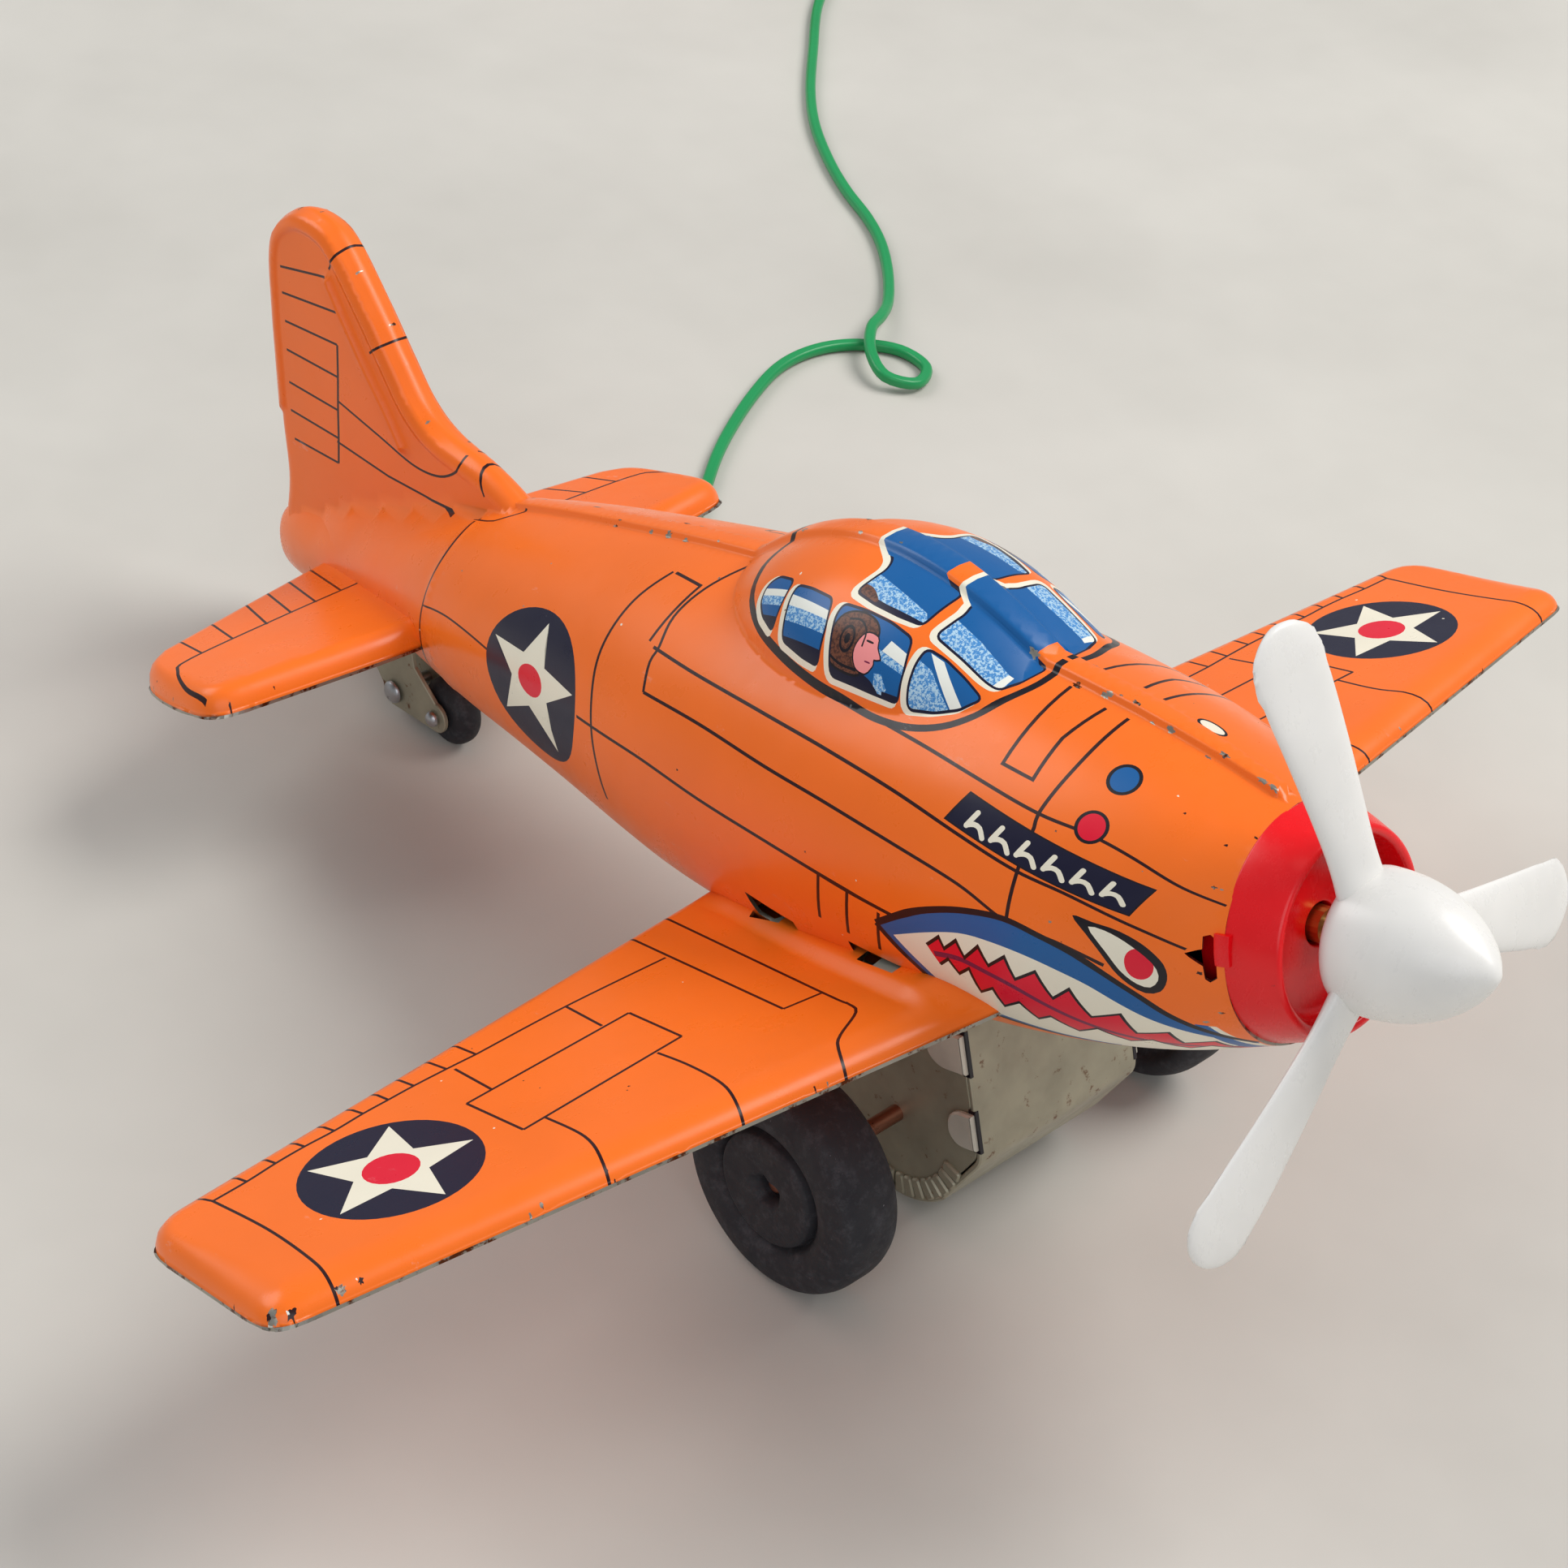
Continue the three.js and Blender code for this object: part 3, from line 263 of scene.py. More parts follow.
FINISH = {
    "litho_tin": INK["orange"],
    "drab_tin": bare_metal("drab_tin", (168, 163, 142), (0.34, 0.52), (104, 66, 38), 0.61, 0.45),
    "red_plastic": plastic("red_plastic", (238, 4, 18), grime=(120, 20, 16)),
    "white_plastic": plastic("white_plastic", (238, 236, 232), (0.24, 0.36), 0.12, grime=(196, 190, 180),
                             grime_from=0.72),
    "tyre": rubber("tyre", (34, 34, 40)),
    "steel": bare_metal("bright_steel", (190, 192, 196)),
    "copper": bare_metal("copper_plate", (176, 120, 100)),
    "brass": bare_metal("brass", (200, 160, 84)),
    "nylon": plastic("nylon", (228, 220, 198), (0.4, 0.55)),
    "black_plastic": plastic("black_plastic", (30, 30, 33), (0.35, 0.5), grime=(80, 78, 74)),
    "ferrite": plastic("ferrite", (42, 42, 46), (0.55, 0.7)),
    "lead_green": plastic("lead_green", (18, 150, 84), (0.3, 0.42), grime=(10, 90, 50)),
    "cell_jacket": ink("cell_jacket", (40, 84, 160)),
    "case_tin": ink("case_enamel", (168, 30, 26)),
}

# ------------------------------------------------------------------ pieces
def add_piece(name, points, faces, materials, body="airframe", replaces=(), face_material=None,
              loop_normals=None, sharp=35.0):
    """A mesh from frame metres, shaded smooth, riding on a body and standing for CAD nodes."""
    mesh = bpy.data.meshes.new(name)
    mesh.from_pydata([tuple(point) for point in points], [], [tuple(face) for face in faces])
    for material in materials:
        mesh.materials.append(material)
    if face_material is not None:
        mesh.polygons.foreach_set("material_index", np.asarray(face_material, np.int32))
    mesh.validate()
    mesh.shade_smooth()
    if loop_normals is not None:
        mesh.normals_split_custom_set([tuple(normal) for normal in loop_normals])
    else:
        mesh.set_sharp_from_angle(angle=math.radians(sharp))
    piece = bpy.data.objects.new(name, mesh)
    bpy.context.scene.collection.objects.link(piece)
    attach(piece, body)
    if replaces:
        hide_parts(*replaces)
    return piece


def smooth_line(points, closed=False, step=1.2):
    """A Catmull-Rom curve through a few points, sampled about every step."""
    points = np.asarray(points, float)
    count = len(points)
    rows = []
    spans = count if closed else count - 1
    for i in range(spans):
        picks = [(i + k) % count if closed else min(max(i + k, 0), count - 1) for k in (-1, 0, 1, 2)]
        a, b, c, d = points[picks]
        steps = max(2, int(np.ceil(np.linalg.norm(c - b) / step)))
        for t in np.arange(steps) / steps:
            rows.append(0.5 * (2 * b + (c - a) * t + (2 * a - 5 * b + 4 * c - d) * t ** 2
                               + (3 * b - a - 3 * c + d) * t ** 3))
    if not closed:
        rows.append(points[-1])
    return np.array(rows)


def straight(points, closed=False, step=2.0):
    """The same points joined by straight lines, sampled about every step."""
    points = np.asarray(points, float)
    ends = np.roll(points, -1, axis=0) if closed else points[1:]
    rows = []
    for a, b in zip(points, ends):
        steps = max(1, int(np.ceil(np.linalg.norm(b - a) / step)))
        rows.extend(a + (b - a) * t for t in np.arange(steps) / steps)
    if not closed:
        rows.append(points[-1])
    return np.array(rows)


def side_steps(points, closed):
    """Unit vectors to the left of a line at each of its points, stretched at corners."""
    if closed:
        before, after = points - np.roll(points, 1, axis=0), np.roll(points, -1, axis=0) - points
    else:
        legs = np.diff(points, axis=0)
        before, after = np.vstack([legs[:1], legs]), np.vstack([legs, legs[-1:]])
    before /= np.linalg.norm(before, axis=1)[:, None]
    after /= np.linalg.norm(after, axis=1)[:, None]
    normal = np.stack([-(before + after)[:, 1], (before + after)[:, 0]], axis=1)
    normal /= np.maximum(np.linalg.norm(normal, axis=1)[:, None], 1e-6)
    cosine = np.clip((normal * np.stack([-after[:, 1], after[:, 0]], axis=1)).sum(axis=1), 0.5, 1)
    return normal / cosine[:, None]


def area(polygon):
    x, y = polygon[:, 0], polygon[:, 1]
    return 0.5 * float(np.sum(x * np.roll(y, -1) - np.roll(x, -1) * y))


def grown(polygon, distance):
    """A closed outline moved outwards by a distance, or inwards if it is negative."""
    return polygon - side_steps(polygon, True) * distance * np.sign(area(polygon))


def stroke(points, width):
    """The outline of a pen line of a given width."""
    offset = side_steps(points, False) * width / 2
    return np.vstack([points + offset, (points - offset)[::-1]])


def ring_of(centre, radii, count=28, turn=0.0):
    angles = np.arange(count) / count * 2 * math.pi + turn
    return np.stack([centre[0] + radii[0] * np.cos(angles), centre[1] + radii[1] * np.sin(angles)], axis=1)


def star(centre, radius, inner, turn, stretch=1.0):
    angles = turn + np.arange(10) * math.pi / 5
    radii = np.where(np.arange(10) % 2 == 0, radius, radius * inner)
    return np.stack([centre[0] + radii * np.cos(angles), centre[1] + stretch * radii * np.sin(angles)],
                    axis=1)


def inside(polygon, points):
    """Which points lie inside a closed outline."""
    x, y = points[:, 0], points[:, 1]
    result = np.zeros(len(points), bool)
    for (x0, y0), (x1, y1) in zip(polygon, np.roll(polygon, -1, axis=0)):
        if y0 == y1:
            continue
        crosses = (y0 > y) != (y1 > y)
        result ^= crosses & (x < (x1 - x0) * (y - y0) / (y1 - y0) + x0)
    return result


def printed_sheet(name, outline, prints, place, replaces=(), holes=(), guides=(), spacing=1.8,
                  thickness=0.5, body="airframe"):
    """A sheet of tin with its print. outline, holes, guides and prints are in sheet coordinates; guides
    are open lines that the triangles follow; prints are (ink, outline, clip outline or None), later
    ones on top; place(u, v) folds the sheet and gives points and normals in airframe millimetres."""
    corners, edges = [], []

    def constrain(loop):
        first = len(corners)
        corners.extend(Vector(point) for point in loop)
        edges.extend((first + k, first + (k + 1) % len(loop)) for k in range(len(loop)))

    constrain(outline)
    for loop in (*holes, *(row[1] for row in prints)):
        constrain(loop)
    for line in guides:
        first = len(corners)
        corners.extend(Vector(point) for point in line)
        edges.extend((first + k, first + k + 1) for k in range(len(line) - 1))
    low, high = outline.min(axis=0), outline.max(axis=0)
    us = np.arange(low[0] + spacing / 2, high[0], spacing)
    vs = np.arange(low[1] + spacing / 2, high[1], spacing * 0.87)
    shift = (np.arange(len(vs)) % 2) * spacing / 2
    lattice = np.stack([us[None, :] + shift[:, None], np.repeat(vs[:, None], len(us), axis=1)], axis=2)
    lattice = lattice.reshape(-1, 2)
    lattice = lattice[inside(outline, lattice)]
    corners.extend(Vector(point) for point in lattice)
    flat, _, faces, *_ = delaunay_2d_cdt(corners, edges, [], 0, 1e-5, False)
    flat = np.array([tuple(point) for point in flat])
    faces = np.array([face for face in faces if len(face) == 3])
    middle = flat[faces].mean(axis=1)
    keep = inside(outline, middle)
    for hole in holes:
        keep &= ~inside(hole, middle)
    faces, middle = faces[keep], middle[keep]
    colour = np.zeros(len(faces), np.int32)
    for key, shape, clip in prints:
        chosen = np.all((middle >= shape.min(axis=0)) & (middle <= shape.max(axis=0)), axis=1)
        index = np.where(chosen)[0]
        hit = inside(shape, middle[index])
        if clip is not None:
            hit &= inside(clip, middle[index])
        colour[index[hit]] = INKS.index(key)

    used = np.unique(faces)
    renumber = np.zeros(len(flat), int)
    renumber[used] = np.arange(len(used))
    flat, faces = flat[used], renumber[faces]
    points, normals = place(flat[:, 0], flat[:, 1])
    across = np.cross(points[faces[:, 1]] - points[faces[:, 0]], points[faces[:, 2]] - points[faces[:, 0]])
    if (across * normals[faces[:, 0]]).sum() < 0:
        faces = faces[:, ::-1]
    count = len(flat)
    every = np.vstack([points, points - normals * thickness])
    seen = {}
    for face in faces:
        for a, b in ((face[0], face[1]), (face[1], face[2]), (face[2], face[0])):
            seen[(int(a), int(b))] = seen.get((int(a), int(b)), 0) + 1
    rim = [(a, b) for (a, b) in seen if (b, a) not in seen]
    walls = [(b, a, a + count, b + count) for a, b in rim]
    shell = [tuple(face) for face in faces] + [tuple(face[::-1] + count) for face in faces] + walls
    bare = INKS.index("bare")
    face_material = np.concatenate([colour, np.full(len(faces) + len(walls), bare)])
    world_points = to_world(every)
    loop_normals = []
    turned = to_world(normals) - np.array(HUB)
    turned /= np.linalg.norm(turned, axis=1)[:, None]
    for face in faces:
        loop_normals.extend(turned[face])
    for face in faces:
        loop_normals.extend(-turned[face[::-1]])
    for wall in walls:
        a, b, c = (world_points[k] for k in wall[:3])
        side = np.cross(b - a, c - b)
        side /= max(np.linalg.norm(side), 1e-12)
        loop_normals.extend([side] * 4)
    return add_piece(name, world_points, shell, [INK[key] for key in INKS], body, replaces,
                     face_material, loop_normals)


def folded(base, relief):
    """A place() for printed_sheet from a base surface and a relief height over it."""
    tiny = 0.02

    def normal_of(surface, u, v):
        along = surface(u + tiny, v) - surface(u - tiny, v)
        around = surface(u, v + tiny) - surface(u, v - tiny)
        normal = np.cross(along, around)
        return normal / np.maximum(np.linalg.norm(normal, axis=1)[:, None], 1e-12)

    def outward(surface, u, v, like):
        normal = normal_of(surface, u, v)
        return normal * np.sign((normal * like(u, v)).sum(axis=1))[:, None]

    def place(like):
        def raised(u, v):
            return base(u, v) + outward(base, u, v, like) * relief(u, v)[:, None]
        return lambda u, v: (raised(u, v), outward(raised, u, v, like))
    return place


def smoothstep(value, low, high):
    t = np.clip((value - low) / (high - low), 0, 1)
    return t * t * (3 - 2 * t)


def distance_to(line, u, v):
    """Distance of sheet points to a polyline."""
    points = np.stack([u, v], axis=1)
    best = np.full(len(points), 1e9)
    for a, b in zip(line[:-1], line[1:]):
        leg = b - a
        t = np.clip(((points - a) @ leg) / max(float(leg @ leg), 1e-12), 0, 1)
        best = np.minimum(best, np.linalg.norm(points - (a + t[:, None] * leg), axis=1))
    return best


# ------------------------------------------------------------------ solid pieces
def filleted(points, radii, closed=True, steps=5):
    """A polyline with its corners rounded; radii is one value or one for each corner."""
    points = np.asarray(points, float)
    count = len(points)
    radii = np.broadcast_to(np.asarray(radii, float), (count,))
    rows = []
    for k, (point, radius) in enumerate(zip(points, radii)):
        if radius <= 0 or (not closed and k in (0, count - 1)):
            rows.append(point)
            continue
        before, after = points[k - 1] - point, points[(k + 1) % count] - point
        lengths = np.linalg.norm(before), np.linalg.norm(after)
        reach = min(radius, 0.48 * lengths[0], 0.48 * lengths[1])
        start, end = point + before / lengths[0] * reach, point + after / lengths[1] * reach
        for t in np.linspace(0, 1, steps):
            rows.append((1 - t) ** 2 * start + 2 * t * (1 - t) * point + t ** 2 * end)
    return np.array(rows)


def ring_mesh(rings, ends):
    """Points and faces through rings of equally many points; ends is "fan", "open" or "loop"."""
    count = len(rings[0])
    points = np.vstack(rings)
    faces = []
    spans = len(rings) if ends == "loop" else len(rings) - 1
    for i in range(spans):
        first, second = i * count, ((i + 1) % len(rings)) * count
        for j in range(count):
            k = (j + 1) % count
            faces.append((first + j, first + k, second + k, second + j))
    if ends == "fan":
        points = np.vstack([points, rings[0].mean(axis=0), rings[-1].mean(axis=0)])
        last = (len(rings) - 1) * count
        for j in range(count):
            k = (j + 1) % count
            faces.append((len(points) - 2, k, j))
            faces.append((len(points) - 1, last + j, last + k))
    return points, faces


def outward_faces(points, faces):
    """The faces, all turned round if they enclose a negative volume."""
    volume = 0.0
    for face in faces:
        a = points[face[0]]
        for b, c in zip(face[1:], face[2:]):
            volume += float(np.dot(a, np.cross(points[b], points[c])))
    return faces if volume > 0 else [tuple(face[::-1]) for face in faces]


def solid(name, points, faces, slot, body, replaces, sharp=35.0, placed=False, material=None):
    world_points = points * MM if placed else to_world(points)
    return add_piece(name, world_points, outward_faces(world_points, faces), [material or FINISH[slot]],
                     body,
                     replaces, sharp=sharp)


AXES = {"x": (1, 2, 0), "y": (0, 2, 1), "z": (0, 1, 2)}


def turned(name, profile, axis, centre, slot, body="airframe", replaces=(), segments=72, placed=False,
           sharp=35.0,
           wobble=None):
    """A turned piece: profile rows are (radius, height); the ends lie on the axis, or the profile closes."""
    profile = np.asarray(profile, float)
    closed = profile[0, 0] > 1e-6
    angles = np.arange(segments) / segments * 2 * math.pi
    rings = []
    for radius, height in profile:
        radius = max(radius, 1e-6)
        radii = radius * (1 + (wobble(angles, radius, height) if wobble else 0))
        ring = np.zeros((segments, 3))
        a, b, c = AXES[axis]
        ring[:, a], ring[:, b], ring[:, c] = radii * np.cos(angles), radii * np.sin(angles), height
        rings.append(ring + np.asarray(centre, float))
    if closed:
        points, faces = ring_mesh(rings, "loop")
    else:
        points, faces = ring_mesh(rings[1:-1], "fan")
        points[-2], points[-1] = rings[0].mean(axis=0), rings[-1].mean(axis=0)
    return solid(name, points, faces, slot, body, replaces, sharp, placed)


def prism(name, outline, low, high, slot, body="airframe", replaces=(), bevel=0.15, material=None):
    """An outline in the Y-Z plane, drawn out along X, with its edges broken by a small bevel."""
    outline = np.asarray(outline, float)
    if area(outline) < 0:
        outline = outline[::-1]
    inner = grown(outline, -bevel)
    rings = [np.column_stack([np.full(len(ring), x), ring]) for x, ring in (
        (low, inner), (low + bevel, outline), (high - bevel, outline), (high, inner))]
    points, faces = ring_mesh(rings, "open")
    last = 3 * len(outline)
    faces += [tuple(range(len(outline)))[::-1], tuple(range(last, last + len(outline)))]
    return solid(name, points, faces, slot, body, replaces, 30.0, False, material)


def capsule_along(name, line, shape, slot, body, replaces, placed, up=(0, 0, 1)):
    """A flat or round bar: shape is its cross section, (across, up), swept along a line."""
    line, shape = np.asarray(line, float), np.asarray(shape, float)
    ahead = np.gradient(line, axis=0)
    ahead /= np.linalg.norm(ahead, axis=1)[:, None]
    across = np.cross(np.asarray(up, float), ahead)
    lengths = np.linalg.norm(across, axis=1)
    for k in range(len(line)):
        if lengths[k] < 0.2:
            across[k] = across[k - 1] if k else (1, 0, 0)
        across[k] -= ahead[k] * (across[k] @ ahead[k])
        across[k] /= np.linalg.norm(across[k])
        if k and across[k] @ across[k - 1] < 0:
            across[k] = -across[k]
    above = np.cross(ahead, across)
    rings = [line[k] + shape[:, :1] * across[k] + shape[:, 1:] * above[k] for k in range(len(line))]
    points, faces = ring_mesh(rings, "fan")
    return solid(name, points, faces, slot, body, replaces, 50.0, placed)


# ------------------------------------------------------------------ fuselage surface
STATIONS = np.array([
    (8.5, 15.3, -15.2, 15.2, 0.0), (20.5, 19.8, -18.4, 21.0, 0.0), (34, 23.6, -20.4, 25.0, 0.6),
    (52, 27.4, -21.8, 27.2, 2.2), (70, 30.0, -21.6, 28.0, 4.2), (86, 31.2, -19.4, 27.8, 6.2),
    (101, 31.6, -16.4, 26.8, 7.6), (111, 31.6, -13.4, 25.6, 8.8), (126, 31.2, -9.0, 23.0, 10.8),
    (140, 30.6, -5.2, 20.6, 12.4), (154, 29.4, -1.8, 18.0, 13.8), (172, 26.8, 2.6, 13.2, 14.6),
    (190, 23.8, 6.2, 8.8, 14.8), (200, 22.6, 7.2, 6.7, 14.7), (207, 21.8, 7.8, 5.4, 14.6),
    (212, 20.9, 8.6, 4.2, 14.4), (215.4, 19.4, 10.0, 2.9, 14.2), (217.2, 16.2, 12.6, 0.9, 14.2)])
NOSE, STERN = STATIONS[0, 0], STATIONS[-1, 0]
HULL_POWER, HULL_CREST = 2.15, 0.10
CANOPY_Y, CANOPY_LENGTH, CANOPY_HEIGHT, CANOPY_ANGLE = 72, 26, 7.7, 38.5
CANOPY_OUTLINE_Y, CANOPY_OUTLINE_LENGTH = 69.5, 28.5
PER_DEGREE = 0.45                 # sheet millimetres to a degree round the fuselage


def section(y):
    """Top, bottom, half width and height of the widest line: cubic curves through the stations."""
    rows = STATIONS
    slopes = np.empty_like(rows)
    slopes[1:-1] = (rows[2:] - rows[:-2]) / (rows[2:, :1] - rows[:-2, :1])
    slopes[0] = (rows[1] - rows[0]) / (rows[1, 0] - rows[0, 0])
    slopes[-1] = (rows[-1] - rows[-2]) / (rows[-1, 0] - rows[-2, 0])
    i = np.clip(np.searchsorted(rows[:, 0], y, side="right") - 1, 0, len(rows) - 2)
    span = rows[i + 1, 0] - rows[i, 0]
    t = np.clip((y - rows[i, 0]) / span, 0, 1)[:, None]
    span = span[:, None]
    curve = ((2 * t ** 3 - 3 * t ** 2 + 1) * rows[i] + (t ** 3 - 2 * t ** 2 + t) * span * slopes[i]
             + (-2 * t ** 3 + 3 * t ** 2) * rows[i + 1] + (t ** 3 - t ** 2) * span * slopes[i + 1])
    return curve[:, 1], curve[:, 2], curve[:, 3], curve[:, 4]


def canopy_rise(y, degrees):
    along = np.maximum(1 - ((y - CANOPY_Y) / CANOPY_LENGTH) ** 2, 0)
    outline = np.maximum(1 - ((y - CANOPY_OUTLINE_Y) / CANOPY_OUTLINE_LENGTH) ** 2, 1e-6)
    reach = np.minimum(degrees / (CANOPY_ANGLE * np.sqrt(outline)), 1)
    return CANOPY_HEIGHT * along * (1 - reach ** 3.2)


def canopy_guides():
    """Sheet lines along the foot of the canopy, so that its bulge starts cleanly."""
    y = np.linspace(CANOPY_OUTLINE_Y - CANOPY_OUTLINE_LENGTH * 0.985, 97.6, 70)
    edge = CANOPY_ANGLE * np.sqrt(1 - ((y - CANOPY_OUTLINE_Y) / CANOPY_OUTLINE_LENGTH) ** 2)
    return [np.stack([y, edge * share * PER_DEGREE], axis=1) for share in (1.04, 1.0, 0.96, 0.91, 0.85)]


def hull_surface(side):
    def surface(y, v):
        degrees = v / PER_DEGREE
        angle = np.radians(degrees)
        top, bottom, half, mid = section(y)
        c, s = np.cos(angle), np.sin(angle)
        power = 2 / HULL_POWER
        crown = np.abs(c) ** power - HULL_CREST * np.abs(s * c)
        z = np.where(c >= 0, mid + (top - mid) * crown, mid - (mid - bottom) * np.abs(c) ** power)
        x = half * np.sign(s) * np.abs(s) ** power
        rise = canopy_rise(y, np.abs(degrees))
        return np.stack([side * (x + rise * s), y, z + rise * c], axis=1)
    return surface


def hull(points):
    """(y, degrees from the top seam) to sheet coordinates."""
    return np.asarray(points, float) * (1, PER_DEGREE)


# ------------------------------------------------------------------ fuselage print
LINE = 0.5                        # width of a printed line, mm
BOLD = 0.9


def canopy_print():
    """Black-framed windows with blue glass, and a generic pilot's head in one of them."""
    rows = []
    outline = smooth_line(hull([
        (89.2, 0), (89.2, 11.4), (88.8, 15.4), (87.2, 22.5), (83.2, 29.1), (77, 34), (70.8, 36.9),
        (65.5, 37.9), (60, 38.9), (55, 37.6), (50.8, 33.6), (47.8, 27.1), (45.8, 18.6), (44, 9.5),
        (43.8, 0.4)]))
    rows.append(("black", stroke(outline, 1.0), None))
    rear = hull([(82.8, 18), (79.5, 18.6), (79.5, 22.9), (79.8, 29.4), (82.8, 26.5), (84.2, 23.5),
                 (84.2, 19.9)])
    second = hull([(78, 19.6), (75.5, 19.6), (71.2, 20.3), (70.2, 26.1), (70.2, 33.3), (73, 32.7),
                   (77.2, 30.7),
                   (77.5, 27.4), (78, 22.5)])
    pilot = hull([(69, 20.3), (65.5, 19.6), (61.8, 19.3), (58.5, 19.9), (57.8, 26.5), (57.8, 33),
                  (61.5, 33.6),
                  (67.8, 34), (68.5, 28.1), (69.2, 22.9)])
    quarter = hull([(56.2, 19.9), (53.8, 19.6), (50.8, 20.6), (48.2, 22.2), (50, 27.1), (52.8, 30.7),
                    (56.2, 33),
                    (56.5, 28.7), (56.5, 23.8)])
    upper_one = hull([(69.8, 3.9), (68.2, 5.9), (67.5, 8.8), (68, 13.1), (68.5, 16.3), (65.2, 17),
                      (61.5, 16.7),
                      (58.5, 15.7), (58.2, 9.8), (58, 4.2)])
    upper_two = hull([(56, 4.2), (55.5, 7.8), (56.2, 16), (52, 16.7), (48.8, 17.6), (47.2, 17.3), (46, 11.1),
                      (45.2, 4.2)])
    for pane in (rear, second, pilot, quarter, upper_one, upper_two):
        glass = filleted(pane, 0.7)
        rows.append(("cream", grown(glass, 0.55) + (0.5, 0.3), None))
        rows.append(("navy", grown(glass, 0.3), None))
        rows.append(("blue", glass, None))

    def band(key, points, pane):
        rows.append((key, straight(hull(points), True), filleted(pane, 0.7)))

    band("navy", [(86, 26.4), (79, 26.8), (79, 31), (86, 31)], rear)
    band("sky", [(86, 22.4), (79, 22.4), (79, 24.4), (86, 24.4)], rear)
    band("glint", [(86, 20.8), (79, 20.8), (79, 22.4), (86, 22.4)], rear)
    band("glint", [(79, 21.4), (69.6, 22.8), (69.6, 24.6), (79, 23.8)], second)
    band("sky", [(79, 23.8), (69.6, 24.6), (69.6, 27.4), (79, 27)], second)
    band("navy", [(79, 30), (69.6, 30.6), (69.6, 34.5), (79, 34.5)], second)
    band("glint", [(60.6, 22.4), (57, 23.4), (57, 26), (61.2, 25.2)], pilot)
    band("sky", [(61.6, 25.2), (57, 26), (57, 27.6), (61.4, 27)], pilot)
    band("sky", [(61.4, 30), (60.4, 29.6), (59.4, 32), (60.2, 34), (61.2, 33)], pilot)
    band("navy", [(57.6, 32), (60, 32.6), (60, 35), (57, 35)], pilot)
    band("glint", [(55.6, 20), (53.8, 20), (49.8, 26.6), (51, 28.6)], quarter)
    band("sky", [(57, 22.6), (57, 34), (52, 31.6), (51.2, 28.8), (54.6, 23.2)], quarter)
    band("sky", [(71, 9.6), (65, 11.4), (59, 13), (57, 17.5), (70, 18)], upper_one)
    band("navy", [(71, 15.6), (64, 16.1), (57, 15.1), (57, 17.5), (70, 18.5)], upper_one)
    band("sky", [(57, 9.8), (52, 10.6), (47.4, 12.4), (46, 18.6), (57, 17.4)], upper_two)
    band("glint", [(47.4, 12.4), (46.8, 12.2), (47, 18), (48, 18)], upper_two)
    rows.append(("leather", smooth_line(hull([(70, 16.6), (69.2, 14.4), (66.9, 14.2), (65.2, 16.8)]), True,
                                        0.6),
                 filleted(upper_one, 0.7)))
    for top_ends, foot_ends in (((71.8, 61.2), (69.6, 58.5)), ((58.2, 47.2), (55.9, 45.6))):
        strip = [(top_ends[0], 0), (top_ends[1], 0), (top_ends[1], 3), (foot_ends[1], 5.2),
                 (foot_ends[0], 5.2),
                 (top_ends[0], 3)]
        edge = stroke(straight(hull([(top_ends[0] + 0.3, 0), (top_ends[0] + 0.3, 3),
                                     (foot_ends[0] + 0.4, 5.4)])), 0.75)
        rows.append(("cream", edge, None))
        rows.append(("blue", straight(hull(strip), True), None))
    rows.extend(pilot_print(filleted(pilot, 0.7)))
    return rows


def pilot_print(pane):
    """A plain, calm profile of no one in particular, looking forward in a leather helmet."""
    def at(points):
        return smooth_line(hull(points), True, 0.5)

    def at_line(points):
        return smooth_line(hull(points), False, 0.5)

    shoulders = at([(70, 35), (60.8, 35), (61.4, 32.2), (63.4, 31.2), (66.8, 30.9), (69.4, 31.6)])
    helmet = at([(69.0, 26.6), (68.2, 22.2), (66.0, 20.2), (63.6, 20.6), (62.5, 23.0), (63.2, 26.4),
                 (63.6, 31.6),
                 (67.2, 32.2), (68.8, 30.2)])
    face = at([(64.1, 23.6), (62.4, 23.2), (61.9, 25.2), (61.1, 27.0), (61.9, 27.6), (61.8, 28.5),
               (62.0, 29.5),
               (62.7, 31.0), (64.2, 30.6), (64.9, 27.4)])
    return [
        ("navy", shoulders, pane),
        ("black", grown(helmet, 0.22), pane), ("leather", helmet, pane),
        ("black", grown(face, 0.16), pane), ("skin", face, pane),
        ("black", at([(63.6, 24.6), (62.7, 24.5), (62.7, 24.9), (63.6, 25.0)]), pane),
        ("dark_red", at([(63.0, 28.6), (62.3, 28.5), (62.3, 28.8), (63.0, 28.9)]), pane),
        ("black", ring_of((66.4, 26.2 * PER_DEGREE), (1.1, 1.3), 20), pane),
        ("leather", ring_of((66.4, 26.2 * PER_DEGREE), (0.8, 1.0), 20), pane),
        ("black", ring_of((66.4, 26.2 * PER_DEGREE), (0.4, 0.5), 16), pane),
        ("black", stroke(at_line([(67.2, 22.4), (65.6, 21.6), (64.2, 23.2), (64.0, 26.4)]), 0.22), pane),
        ("black", stroke(at_line([(68.6, 30.4), (66.6, 31.4), (64.0, 31.2)]), 0.25), pane),
    ]


